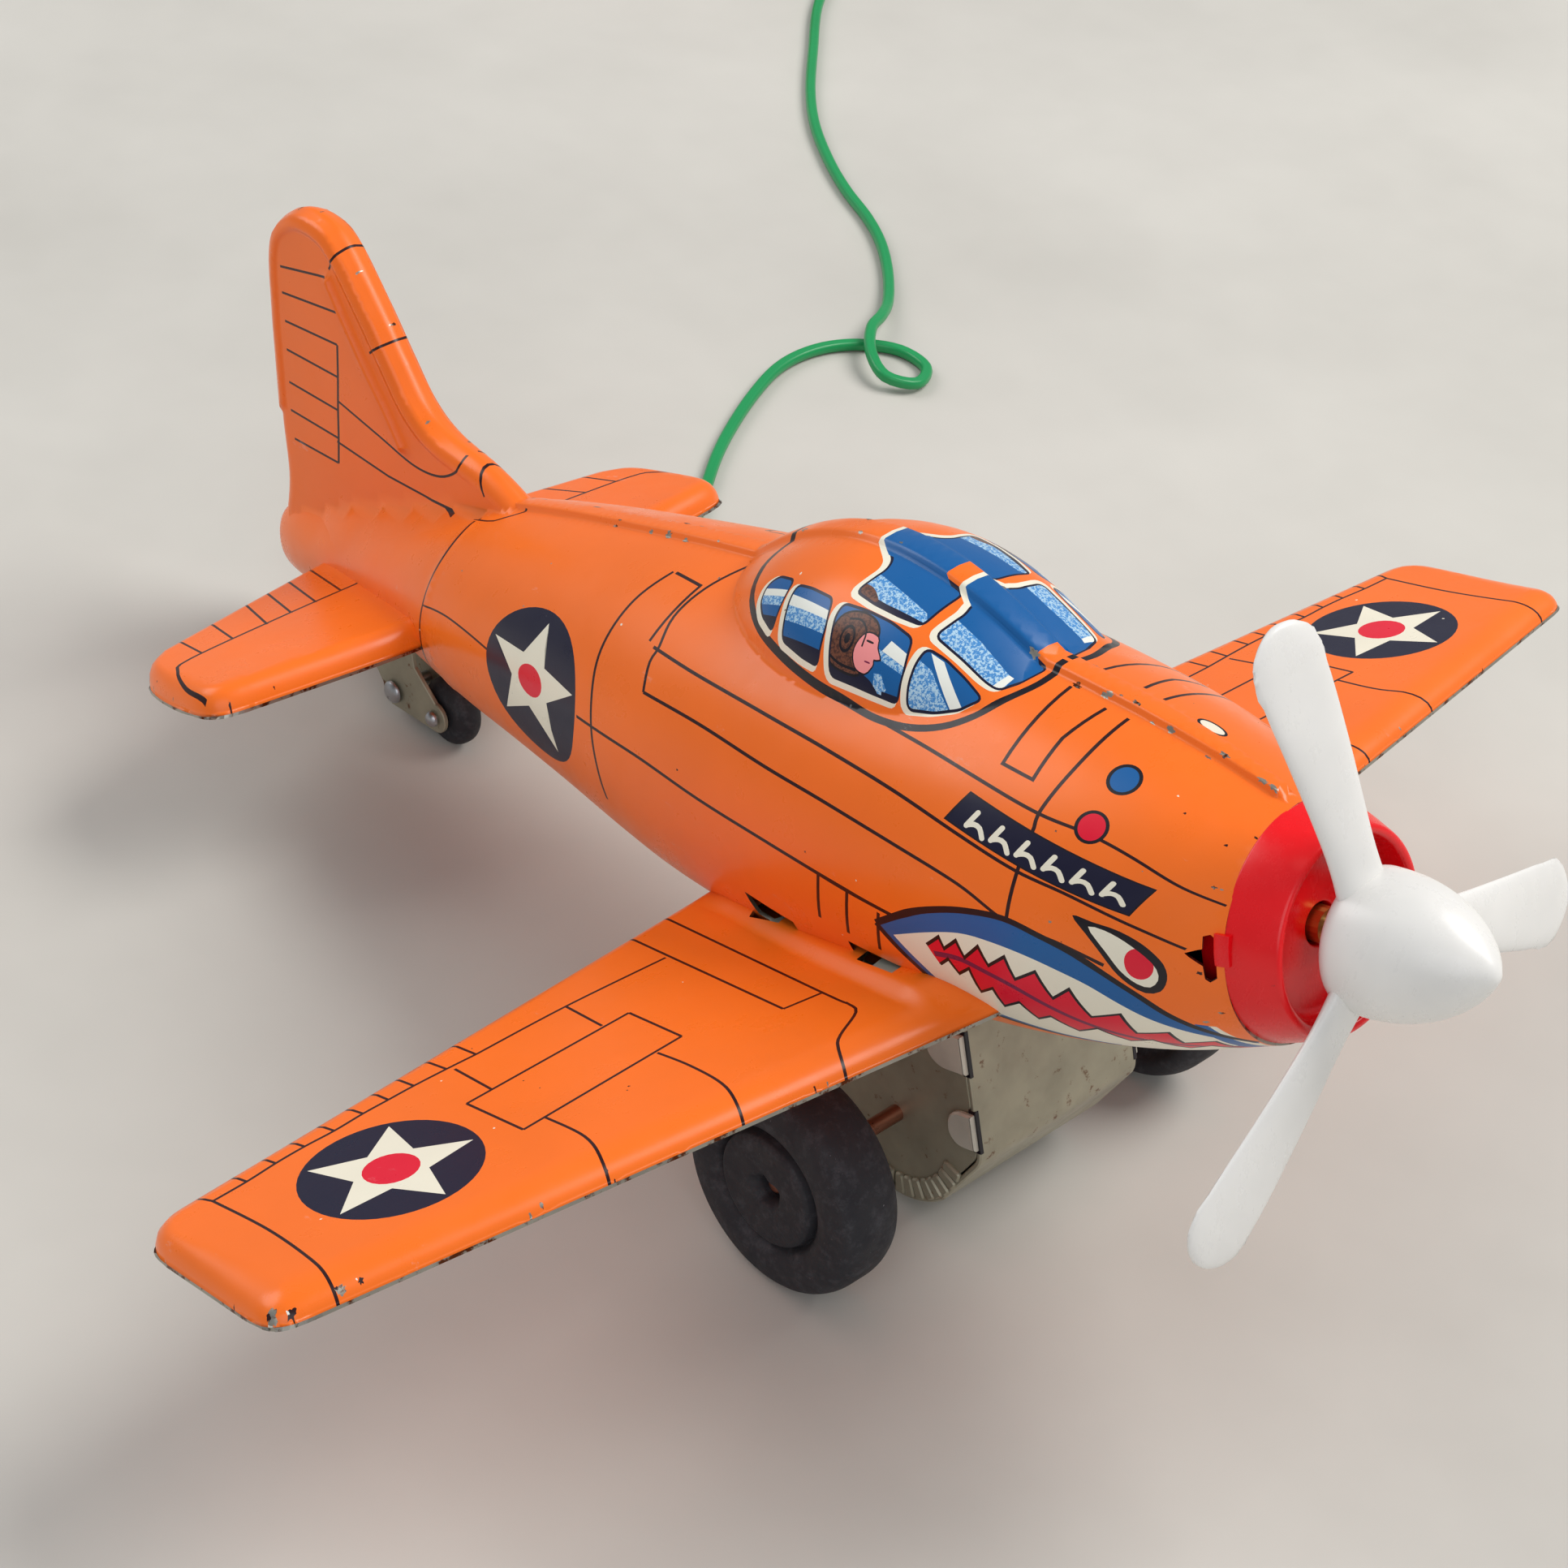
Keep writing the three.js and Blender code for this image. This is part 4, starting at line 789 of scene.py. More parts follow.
def face_print():
    """The shark's grin and eye, drawn afresh: blue lip, cream gums and a jagged red mouth."""
    lip = smooth_line(hull([
        (54.8, 96.7), (50.2, 91.1), (44.8, 86.2), (39.8, 83), (34.5, 81.7), (29.8, 84.3), (25.5, 88.2),
        (22, 93.4),
        (18.5, 101.6), (15.8, 112), (13.2, 122.5), (10.8, 132.3), (8.9, 140)]))
    gum = smooth_line(hull([
        (52.5, 99), (46.5, 93.8), (41.2, 90.5), (36.5, 90.2), (32, 91.5), (28, 94.4), (24.2, 99), (21, 106.2),
        (18, 114.7), (15.2, 122.8), (12.5, 131), (9, 142)]))
    chin = smooth_line(hull([
        (54.8, 96.7), (52.8, 101.6), (50, 108.8), (47.5, 116.6), (43.8, 124), (38.5, 130), (34.5, 135),
        (29.2, 141), (24.5, 147), (19, 155), (14, 163), (8.9, 172)]))
    upper_teeth = hull([
        (46.8, 98), (44.5, 93.8), (44, 97.3), (41.8, 93.1), (41, 98.3), (38.5, 92.8), (37.5, 98.7),
        (34.8, 93.8),
        (34, 101.6), (30.8, 96.7), (29.5, 107.1), (26.8, 101.6), (25.5, 114.7), (21.5, 111.7), (21.2, 124.1),
        (17.2, 123.5), (17, 134), (13.2, 134.5), (12.6, 144), (8.9, 147)])
    lower_teeth = hull([
        (45.5, 104.2), (43.8, 100.9), (42.8, 105.8), (40.8, 102.2), (40.5, 112), (38.2, 108.5), (38, 117.3),
        (35, 112.7), (33.8, 121.2), (31.5, 117.9), (29.2, 126.4), (26, 122.4), (23.4, 132), (20.2, 130),
        (17.6, 142), (14.6, 140), (12, 154), (8.9, 156)])
    tongue = smooth_line(hull([
        (45.9, 100.4), (42, 99.4), (38.5, 101.5), (34.8, 105), (31.4, 110.5), (27.6, 118), (23, 127),
        (17.5, 136.5),
        (13, 145.5), (9, 151)]))
    whole = np.vstack([lip, chin[::-1]])
    throat = straight(np.vstack([upper_teeth, lower_teeth[::-1]]), True)
    rows = [
        ("cream", whole, None),
        ("blue", np.vstack([lip, gum[::-1]]), whole),
        ("blue", stroke(chin[:int(len(chin) * 0.62)], 2.6), whole),
        ("red", throat, whole), ("dark_red", stroke(tongue, 0.85), throat),
        ("black", stroke(straight(upper_teeth), 0.45), whole),
        ("black", stroke(straight(lower_teeth), 0.45), whole),
        ("blue", straight(hull([(13.6, 118), (12.2, 120), (9.4, 152), (11.4, 152)]), True), None),
        ("cream", straight(hull([(12.2, 120), (11.4, 121), (8.5, 152), (9.4, 152)]), True), None),
        ("black", stroke(lip, BOLD), None), ("black", stroke(chin, BOLD), None),
    ]
    outer = smooth_line(hull([
        (25.5, 74.8), (23, 75.8), (19.8, 77.4), (17, 81.7), (15, 88.5), (14.8, 94.4), (15.8, 99.6),
        (17.5, 100.3),
        (19.2, 96.7), (20.8, 91.5), (22.5, 84.9), (23.8, 80.4)]), True)
    inner = smooth_line(hull([
        (23.5, 77.7), (21.5, 78.1), (19.2, 81), (17, 85.9), (15.8, 90.5), (15.8, 94.7), (16.8, 97.7),
        (18.2, 96.4),
        (20, 91.5), (21.5, 85.6), (22.5, 82)]), True)
    rows += [("black", outer, None), ("cream", inner, None),
             ("red", ring_of((17.7, 88.9 * PER_DEGREE), (1.65, 2.55)), inner)]
    return rows


def roundel_print():
    centre = (125.8, 76.4 * PER_DEGREE)
    return [("navy", ring_of(centre, (12.2, 13.4), 48), None),
            ("cream", star(centre, 11.4, 0.44, math.radians(-25)), None),
            ("red", ring_of(centre, (3.2, 2.9), 24), None)]


def plate_print():
    """The exhaust plate under the cowl: a dark panel with six pale hooks."""
    rows = [("black", grown(straight(hull([(42.5, 48), (16.8, 59.5), (19, 70.6), (44.5, 57.5)]), True),
                            0.25), None),
            ("navy", straight(hull([(42.5, 48), (16.8, 59.5), (19, 70.6), (44.5, 57.5)]), True), None)]
    first, last = np.array((40.4, 52.3)), np.array((21.3, 60.4))
    slash = np.array([(0.1, 0.2), (1.1, 5.0)])
    curl = np.array([(0.9, 4.6), (0.1, 3.9), (-0.8, 4.4), (-1.5, 7.0)])
    for k in range(6):
        corner = first + (last - first) * k / 5
        rows.append(("cream", stroke(straight(hull(corner + slash), step=1.0), 0.72), None))
        rows.append(("cream", stroke(smooth_line(hull(corner + curl), step=0.5), 0.72), None))
        for end in (slash[0], slash[1], curl[-1]):
            rows.append(("cream", ring_of(hull(corner + end), (0.36, 0.36), 12), None))
    return rows


def panel_lines():
    lines = [
        [(137.8, 74.5), (150, 70.2), (158, 71.5)],
        [(113.2, 78.1), (99.5, 79.7), (85.8, 84), (73.5, 86.6), (63.5, 89.2), (53.5, 91.8), (51.5, 92.4)],
        [(101.2, 43.8), (90.8, 47), (77, 50), (64.8, 52.6), (53.2, 55.9), (42.2, 60.8), (33.5, 65.3),
         (26, 68.6),
         (18, 75.1), (12.5, 81.7)],
        [(99.5, 58.5), (87.2, 60.8), (74.2, 64.4), (62.2, 67.3), (51.2, 70.9), (41, 75.5), (34, 82.3),
         (27.5, 85.3), (21.8, 90.5)],
        [(58.5, 39.2), (51.2, 40.8), (43, 43.1), (33, 46.1), (25.8, 47), (19.8, 50.3), (13.8, 56.2),
         (8.9, 59.5)],
        [(107.8, 17.6), (110.2, 32), (111, 51.6), (109.8, 71.2), (109, 90.5), (108.8, 103.6)],
        [(97, 6.5), (99.8, 19.9), (101, 32.3), (100.2, 43.1), (100.5, 48.7), (99.5, 58.5)],
        [(156.8, 16), (156.8, 43.1), (158, 71.5), (160.5, 100.3), (162.5, 122.2)],
        [(31.2, 6.5), (31.8, 26.8), (33, 46.1), (32.8, 50.6), (33.2, 65.7), (34, 82.3)],
        [(180.8, 6), (163.8, 13.1), (154, 14.7), (151.2, 11.1), (148.8, 5), (149, 4)],
    ]
    corners = [
        [(107.2, 17.6), (101, 19.6), (102, 34.6), (102.5, 42.5)],
        [(63.8, 89.5), (65.5, 103.6)], [(59, 90.8), (60.8, 105.2)], [(54, 93.1), (55.8, 107.1)],
        [(40.5, 5.6), (40.5, 36.3), (35.8, 37.2), (35.8, 21.9), (34.5, 6.9)],
        [(157, 4), (156.4, 14.4)],
    ]
    rows = [("line", stroke(smooth_line(hull(line)), LINE), None) for line in lines]
    return rows + [("line", stroke(straight(hull(line)), LINE), None) for line in corners]


def dots_print(side):
    rows = []
    if side < 0:
        for key, y, degrees in (("blue", 25.8, 25.8), ("red", 26.2, 44.4)):
            centre = (y, degrees * PER_DEGREE)
            rows += [("black", ring_of(centre, (2.1, 2.6)), None), (key, ring_of(centre, (1.65, 2.1)), None)]
    else:
        centre = (23.8, 7.4 * PER_DEGREE)
        rows += [("black", ring_of(centre, (2.2, 1.3)), None), ("cream", ring_of(centre, (1.8, 0.95)), None)]
    return rows


def blot(centre, size, seed, lobes=9, stretch=1.0):
    """A ragged little outline for a chip in the varnish."""
    random = np.random.default_rng(seed)
    angles = np.arange(lobes * 2) / (lobes * 2) * 2 * math.pi
    radii = size * random.uniform(0.45, 1.1, lobes * 2)
    return np.stack([centre[0] + stretch * radii * np.cos(angles), centre[1] + radii * np.sin(angles)],
                    axis=1)


def hull_wear(side):
    """Chips and worn spots: along the raised seam and round the nose."""
    random = np.random.default_rng(12 + side)
    rows = []
    for k in range(26):
        y = random.uniform(9.2, 140)
        if 40 < y < 92 and random.random() < 0.6:
            continue
        rows.append(("bare", blot((y, random.uniform(0.9, 2.3)), random.uniform(0.15, 0.42), k, stretch=2.2),
                     None))
    for k in range(9):
        centre = (random.uniform(9.0, 13), random.uniform(8, 58))
        rows.append((("bare", "line")[k % 2], blot(centre, random.uniform(0.15, 0.5), 50 + k), None))
    for k in range(24):
        centre = (random.uniform(12, 200), random.uniform(4, 60))
        rows.append((("bare", "line", "cream")[k % 3], blot(centre, random.uniform(0.08, 0.26), 90 + k),
                     None))
    return rows


TAB_Y = ((53.5, 61.5), (72.5, 80.5))
GROMMET_Y, GROMMET_HOLE = 112.0, 2.8
BOX_HALF, BOX_FRONT, BOX_REAR = 15.3, 54.6, 84.6


def hull_half(name, side):
    outline = straight([(NOSE, 0), (STERN, 0), (STERN, 180 * PER_DEGREE), (NOSE, 180 * PER_DEGREE)], True,
                       1.4)
    slots = [straight(hull([(low - 0.2, 112), (high + 0.2, 109), (high + 0.2, 119), (low - 0.2, 121)]), True,
                      1.0)
             for low, high in TAB_Y]
    mouth = straight(hull([(BOX_FRONT - 0.8, 146), (BOX_REAR + 0.8, 142), (BOX_REAR + 0.8, 179.2),
                           (BOX_FRONT - 0.8, 179.2)]), True)
    cross = straight(hull([(12.7, 83.4), (12.3, 84.8), (11.4, 87.2), (10.8, 88.6), (10.7, 93.8), (10.2, 95.2),
                           (9.4, 93.4), (9.3, 86), (9.4, 76), (10, 74), (10.8, 75.2), (10.8, 81),
                           (11.5, 81.8)]), True,
                     0.8)
    lead_hole = straight([(GROMMET_Y - GROMMET_HOLE, 180 * PER_DEGREE - 0.4),
                          (GROMMET_Y - GROMMET_HOLE * 0.7, 180 * PER_DEGREE - 5.4),
                          (GROMMET_Y + GROMMET_HOLE * 0.7, 180 * PER_DEGREE - 5.4),
                          (GROMMET_Y + GROMMET_HOLE, 180 * PER_DEGREE - 0.4)], True)
    prints = panel_lines() + roundel_print() + plate_print() + face_print() + canopy_print()
    prints += dots_print(side) + hull_wear(side)
    guides = [straight([(NOSE + 0.4, v), (175, v)], step=1.6) for v in (1.15, 1.4, 1.65, 1.9)]
    guides += canopy_guides()

    def relief(u, v):
        crest = 0.85 * (1 - smoothstep(v, 1.1, 1.95)) * (1 - smoothstep(u, 150, 172)) * smoothstep(u, 10.2,
            10.9)
        frame = 0.16 * np.exp(-((u - 156.8) / 0.8) ** 2) * smoothstep(v, 6, 9)
        return crest + frame

    surface = hull_surface(side)
    outwards = lambda u, v: np.stack([side * np.sin(np.radians(v / PER_DEGREE)), 0 * u,
                                      np.cos(np.radians(v / PER_DEGREE))], axis=1)
    place = folded(surface, relief)(outwards)
    printed_sheet(f"hull_{name}", outline, prints, place, (f"fuselage_{name}",),
                  (*slots, mouth, cross, lead_hole), guides, 1.7, 0.5)


for side_name, side_sign in SIDES:
    hull_half(side_name, side_sign)


# ------------------------------------------------------------------ fin
FIN_HALF = 2.7
FIN_EDGE = ((141, 19), (147, 26.4), (152.4, 31.2), (158.5, 35.0), (167, 38.6), (171.5, 42.6), (174.8, 49),
            (178.3, 56.5),
            (183.4, 65.9), (187.5, 69.4), (193.4, 70.6), (199.2, 68.4), (202.4, 64), (204.8, 55.5),
            (206.8, 46.8),
            (209, 36.5), (210.6, 27), (213.4, 20.5))


def hull_half_width(y, z):
    """Half width of the fuselage at a height, running on below nothing above its top."""
    top, _, half, mid = section(y)
    angle = np.radians(np.linspace(90, 0, 120))
    c, s = np.cos(angle), np.sin(angle)
    power = 2 / HULL_POWER
    share = (z - mid) / (top - mid)
    width = half * np.interp(share, c ** power - HULL_CREST * s * c, s ** power)
    return np.where(share > 1, -(z - top) * 1.5, width)


def fin_half(name, side):
    edge_line = smooth_line(FIN_EDGE, step=1.0)
    outline = np.vstack([edge_line, [(211, 18.5), (190, 18.5), (165, 21.5)]])
    radius = 2.55
    ridge = smooth_line([(186.4, 60.5), (184.6, 56), (181.1, 48.2), (177.6, 41.2), (175.4, 36.2)], step=1.0)
    rudder = smooth_line([(187.8, 50.5), (189.4, 45.2), (191.2, 39.7), (192.6, 35),
                          (194, 30.8)])
    fillet_line = smooth_line([(190.6, 41.2), (181.5, 37), (173.6, 33.4), (167.4, 32.6), (162.6, 34.2),
                               (161.8, 36.2)])
    rear_ends = ((199.1, 61.6), (200.1, 57.4), (200.9, 52.8), (202.1, 48.1), (203.3, 42.7), (204.5, 38),
                 (205.1, 33.2))
    hinge_ends = ((187.4, 61.1), (186.3, 55.7), (187.8, 50.5), (189.4, 45.2), (191.2, 39.7), (192.6, 35),
                  (194, 30.8))
    prints = [("line", stroke(rudder, LINE), None), ("line", stroke(fillet_line, 0.4), None)]
    prints += [("line", stroke(straight([a, b]), 0.4), None) for a, b in zip(rear_ends, hinge_ends)]
    prints += [("line", stroke(straight(row), 0.4), outline) for row in (
        [(182.6, 66), (186.0, 62.4)], [(175.6, 52), (179.6, 50.2)], [(158.6, 35.6), (157.0, 31)],
        [(193.2, 34.4), (181, 30.6), (170.5, 28.4), (163.6, 27.6)])]
    random = np.random.default_rng(5 + side)
    for k in range(8):
        spot = edge_line[random.integers(20, len(edge_line) - 12)] + random.normal(0, 0.4, 2)
        prints.append(("bare", blot(spot, random.uniform(0.12, 0.3), k), outline))
    closed = np.vstack([edge_line, [(214.5, 15), (190, 12), (141, 10)]])
    guides = [grown(closed, -depth)[2:len(edge_line) - 2] for depth in (0.15, 0.6, 1.3, 2.1, 2.8, 3.4, 4.1)]
    for shift in (-1.5, -0.9, -0.4, 0, 0.4, 0.9, 1.5):
        guides.append(ridge + side_steps(ridge, False) * shift)

    def surface(u, v):
        near = np.minimum(distance_to(edge_line, u, v) / radius, 1)
        near = np.where(inside(closed, np.stack([u, v], axis=1)), near, 0)
        blade = FIN_HALF * np.sqrt(np.maximum(1 - (1 - near) ** 2, 0))
        stern = smoothstep(u, 190, 206)
        foot = smoothstep(u, 146, 170)
        reach = 0.4 + 6.6 * foot - 5.5 * stern
        flank = hull_half_width(u, v)
        overlap = np.maximum(reach - np.abs(blade - flank), 0) / reach
        merged = np.maximum(blade, flank) + overlap ** 2 * reach / 4 - 0.4 + 0.3 * foot - 0.3 * stern
        half = np.where(flank > blade - reach, np.maximum(merged, blade), blade)
        return np.stack([side * np.where(flank > blade, merged, half), u, v], axis=1)

    def relief(u, v):
        away = distance_to(edge_line[:-22], u, v)
        flange = 0.45 * (1 - smoothstep(away, 2.2, 3.2)) * smoothstep(away, 0.3, 1.2)
        return flange * smoothstep(u, 156, 172) + 1.15 * np.exp(-(distance_to(ridge, u, v) / 0.75) ** 2)

    place = folded(surface, relief)(lambda u, v: np.stack([side + 0 * u, 0 * u, 0 * u], axis=1))
    printed_sheet(f"fin_{name}", outline, prints, place, (f"fuselage_{name}",), (), guides,
                  1.6, 0.5)


# ------------------------------------------------------------------ wings and tailplanes
def rolled_panel(name, side, edge_line, root, top, edge, rolls, split, prints, band, rise, replaces,
                 slots=()):
    """A flat-topped panel whose edges roll down to a thin rim and whose root band is raised by a
    rise; rolls are the (front, rear) widths of the rolled edges."""
    outline = np.vstack([edge_line, root])
    front, rear = rolls

    def roll_at(v):
        return rear + (front - rear) * smoothstep(-v, -split[1], -split[0])

    guides = []
    for bend in (12, 30, 50, 70, 89):
        ring = grown(outline, -front * (1 - math.cos(math.radians(bend))) * 0.8)
        guides.append(ring[2:len(edge_line) - 2])
    band = smooth_line(band)
    for shift in (-1.8, -1.2, -0.6, 0, 0.6, 1.2, 1.8):
        guides.append((band + (shift, 0))[3:-3])

    def surface(u, v):
        away = distance_to(edge_line, u, v)
        near = np.minimum(away / roll_at(v), 1)
        z = edge + (top - edge) * np.sqrt(np.maximum(1 - (1 - near) ** 2, 0))
        return np.stack([side * u, v, z], axis=1)

    def relief(u, v):
        inboard = np.interp(v, band[::-1, 1], band[::-1, 0]) - u
        return rise * smoothstep(inboard, -1.8, 1.6) * smoothstep(distance_to(edge_line, u, v), 0.5, 8)

    up = lambda u, v: np.stack([0 * u, 0 * u, 1 + 0 * u], axis=1)
    printed_sheet(name, outline, prints, folded(surface, relief)(up), replaces, slots, guides,
                  1.8, 0.5)


WING_TOP, WING_EDGE = -8.6, -11.6


TAB_TIN = bare_metal("tab_tin", (206, 202, 188), (0.34, 0.5), (120, 96, 70), 0.66, 0.25)


def wing(name, side):
    corners = [(17, 39.4), (120.0, 57.2), (118.4, 86.2), (17, 95.7)]
    edge_line = straight(filleted(corners, [0, 4.5, 5.5, 0], False, 9), step=1.8)
    root = np.array([(17, 80), (17, 60), (17, 45)])

    def lines(rows, width=0.42, curved=True):
        shape = smooth_line if curved else straight
        return [("line", stroke(shape(row), width), None) for row in rows]

    trailing = ((69.6, 92.1), (74.4, 91.6), (79.3, 90.9), (83.1, 90.1), (87.5, 90), (92, 89.1), (96.4, 88.5),
                (100.7, 87.4), (105.2, 86.5), (110.5, 85.3))
    hinge = ((69.4, 84.5), (73.9, 84.7), (78.9, 84.8), (82.9, 84.7), (86.8, 84.6), (91.4, 84.2), (95.8, 84.2),
             (100.2, 83.9), (104.8, 83.3), (109.8, 83))
    prints = lines([
        [(30.8, 94.6), (34.2, 58.7), (34.5, 53.7), (35.5, 51.3), (40.6, 48.7), (42.9, 46.7), (46.3, 41)],
        [(37.4, 94.2), (39.9, 59.8)], [(39.9, 59.8), (34.2, 58.7)],
        [(38.7, 83.7), (54.8, 84.6), (69.4, 84.5)], hinge,
        [(51.4, 76.1), (51.8, 65.5)], [(51.8, 65.5), (77.9, 64.3)], [(77.9, 64.3), (77.9, 75.4)],
        [(77.9, 75.4), (51.4, 76.1)],
        [(54.8, 84.6), (55.6, 76.4)], [(73.3, 83.8), (73.9, 75.7)],
        [(56.3, 64.9), (56.2, 58.9), (57, 52.1), (59.5, 45.6), (61.3, 43.2)],
        [(74.5, 64.3), (74.7, 56.7), (77, 50.3), (79.1, 46)],
        [(109.8, 83), (109.6, 71.8), (110.5, 61.7), (111.8, 55.9), (113.4, 52.5)]])
    prints += lines(list(zip(trailing, hinge)), curved=False)
    centre = (92.8, 70.7)
    prints += [("navy", ring_of(centre, (11.2, 11.2), 48), None),
               ("cream", star(centre, 10.4, 0.45, math.radians(53)), None),
               ("red", ring_of(centre, (3.5, 3.5), 24), None)]
    random = np.random.default_rng(31 + side)
    outline = np.vstack([edge_line, root])
    for k in range(16):
        spot = edge_line[random.integers(4, len(edge_line) - 4)] + random.normal(0, 0.3, 2)
        prints.append((("bare", "line")[k % 2], blot(spot, random.uniform(0.1, 0.3), k), outline))
    if side < 0:
        for k, (x, y, size) in enumerate(((118.6, 58.6, 0.7), (116.9, 57.2, 0.45), (110.9, 56.2, 0.5),
                                          (108.4, 55.8, 0.3))):
            prints.append((("bare", "line")[k % 2], blot((x, y), size, 200 + k, stretch=1.5), outline))
            prints.append((("line", "glint")[k % 2], blot((x + 0.3, y + 0.3), size * 0.45, 300 + k), outline))
    for k in range(12):
        spot = (random.uniform(32, 116), random.uniform(56, 88))
        prints.append((("cream", "line")[k % 2], blot(spot, random.uniform(0.08, 0.25), 60 + k), outline))
    band = [(24.6, 95.6), (24.9, 86.4), (27.6, 68.6), (29.6, 47.3), (30.4, 40.6)]
    slots = [straight([(21.5, 82.6), (25.6, 81.8), (25.4, 76.2), (21.5, 76.8)], True),
             straight([(21.5, 60.6), (27.2, 59.6), (27.4, 53.0), (21.5, 53.6)], True)]
    rolled_panel(f"wing_{name}", side, edge_line, root, WING_TOP, WING_EDGE, (5.0, 2.5), (62, 82), prints,
                 band, 1.3, (f"wing_{name}_upper",), slots)
    under = grown(filleted([(17, 39.4), (120.0, 57.2), (118.4, 86.2), (17, 95.7)], [0, 4.5, 5.5, 0], True,
                           9), -0.9)
    rings = [np.column_stack([side * under, np.full(len(under), z)]) for z in (WING_EDGE - 0.05,
        WING_EDGE + 0.55)]
    rings = [ring * (1, side, 1) for ring in rings]
    points, faces = ring_mesh(rings, "open")
    faces += [tuple(range(len(under)))[::-1], tuple(range(len(under), 2 * len(under)))]
    solid(f"wing_floor_{name}", points, faces, "litho_tin", "airframe", (f"wing_{name}_lower",), 30.0,
          material=INK["orange"])
    for k, (low, high) in enumerate(TAB_Y):
        middle = (low + high) / 2 + (-1.2, 0.4)[k]
        bend = [(20, -9.2), (24.4, -8.6), (26.6, -8.9), (26.8, -8.3), (24.6, -7.9), (20, -8.6)]
        rings = [np.array([(side * x, y, z) for x, z in bend]) for y in (middle - 2.2, middle + 1.6)]
        solid(f"wing_tab_{name}_{k + 1}", *ring_mesh(rings, "fan"), "litho_tin", "airframe",
              (f"wing_{name}_upper",),
              material=TAB_TIN)


TAIL_TOP, TAIL_EDGE = 15.4, 11.6


def tailplane(name, side):
    edge_line = np.vstack([
        smooth_line([(2, 158.6), (12, 160.2), (22.3, 161.2), (43, 164.6)], step=1.6)[:-1],
        smooth_line([(43, 164.6), (47, 165.6), (49.4, 168), (49.9, 173), (49, 181), (47, 186.6), (43, 189.8)],
                    step=0.8)[:-1],
        smooth_line([(43, 189.8), (25, 194.4), (2, 200)], step=1.6)])
    root = np.array([(2, 185), (2, 172)])
    hinge_line = smooth_line([(9.6, 183.7), (24, 183), (42.5, 181.3), (46.4, 178.6), (48.7, 173.2),
                              (48.9, 168)])
    ends = zip(((38.9, 191.2), (31.9, 192.9), (24.3, 194.3), (19.5, 195.8), (14.6, 197.4), (9.6, 198.9)),
               ((40.2, 181.5), (34.3, 182.2), (28, 182.3), (23.2, 182.8), (18.5, 183), (13.4, 183.8)))
    prints = [("line", stroke(hinge_line, LINE), None)]
    prints += [("line", stroke(straight([a, b]), 0.42), None) for a, b in ends]
    random = np.random.default_rng(71 + side)
    outline = np.vstack([edge_line, root])
    for k in range(10):
        spot = edge_line[random.integers(4, len(edge_line) - 4)] + random.normal(0, 0.3, 2)
        prints.append((("bare", "line")[k % 2], blot(spot, random.uniform(0.1, 0.28), k), outline))
    band = [(7.6, 198), (9.4, 180), (10.6, 164)]
    rolled_panel(f"tail_{name}", side, edge_line, root, TAIL_TOP, TAIL_EDGE, (3.0, 2.0), (176, 186), prints,
                 band, 0.5, (f"tailplane_{name}",))


for side_name, side_sign in SIDES:
    fin_half(side_name, side_sign)
    wing(side_name, side_sign)
    tailplane(side_name, side_sign)


# ------------------------------------------------------------------ nose ring and propeller
def nose_ring():
    profile = [(2.7, 6.6), (10.6, 6.6), (11.2, 6.2), (11.9, 2.3), (13.0, 2.1), (14.2, 5.3), (15.3, 8.9),
               (13.7, 9.0),
               (13.7, 13.4), (12.6, 13.4), (12.6, 8.4), (2.7, 8.4)]
    radii = [0.3, 0.8, 0.8, 0.5, 0.6, 1.2, 0.3, 0.1, 0.3, 0.3, 0.1, 0.3]
    turned("nose_ring_turned", filleted(profile, radii), "y", (0, 0, 0), "red_plastic",
           replaces=("nose_ring",),
           segments=96)
    for name, side in SIDES:
        angles = np.radians(np.linspace(77, 92, 7))
        rings = []
        for y in (7.6, 7.8, 9.2, 9.45):
            low, high = (-0.5, 0.1) if y in (7.6, 9.45) else (-0.6, 0.28)
            _, _, half, _ = (value[0] for value in section(np.array([max(y, 8.5)])))
            ring = [(half + high, angle) for angle in angles] + [(half + low,
                angle) for angle in angles[::-1]]
            rings.append(np.array([(side * r * math.sin(a), y, r * math.cos(a) * 0.98 + 1.2) for r,
                                   a in ring]))
        points, faces = ring_mesh(rings, "fan")
        solid(f"nose_ear_{name}", points, faces, "red_plastic", "airframe", ("nose_ring",))


def spinner_radius(share):
    """Spinner profile from its widest line to its tip."""
    return (1 - share ** 2.15) ** 0.72


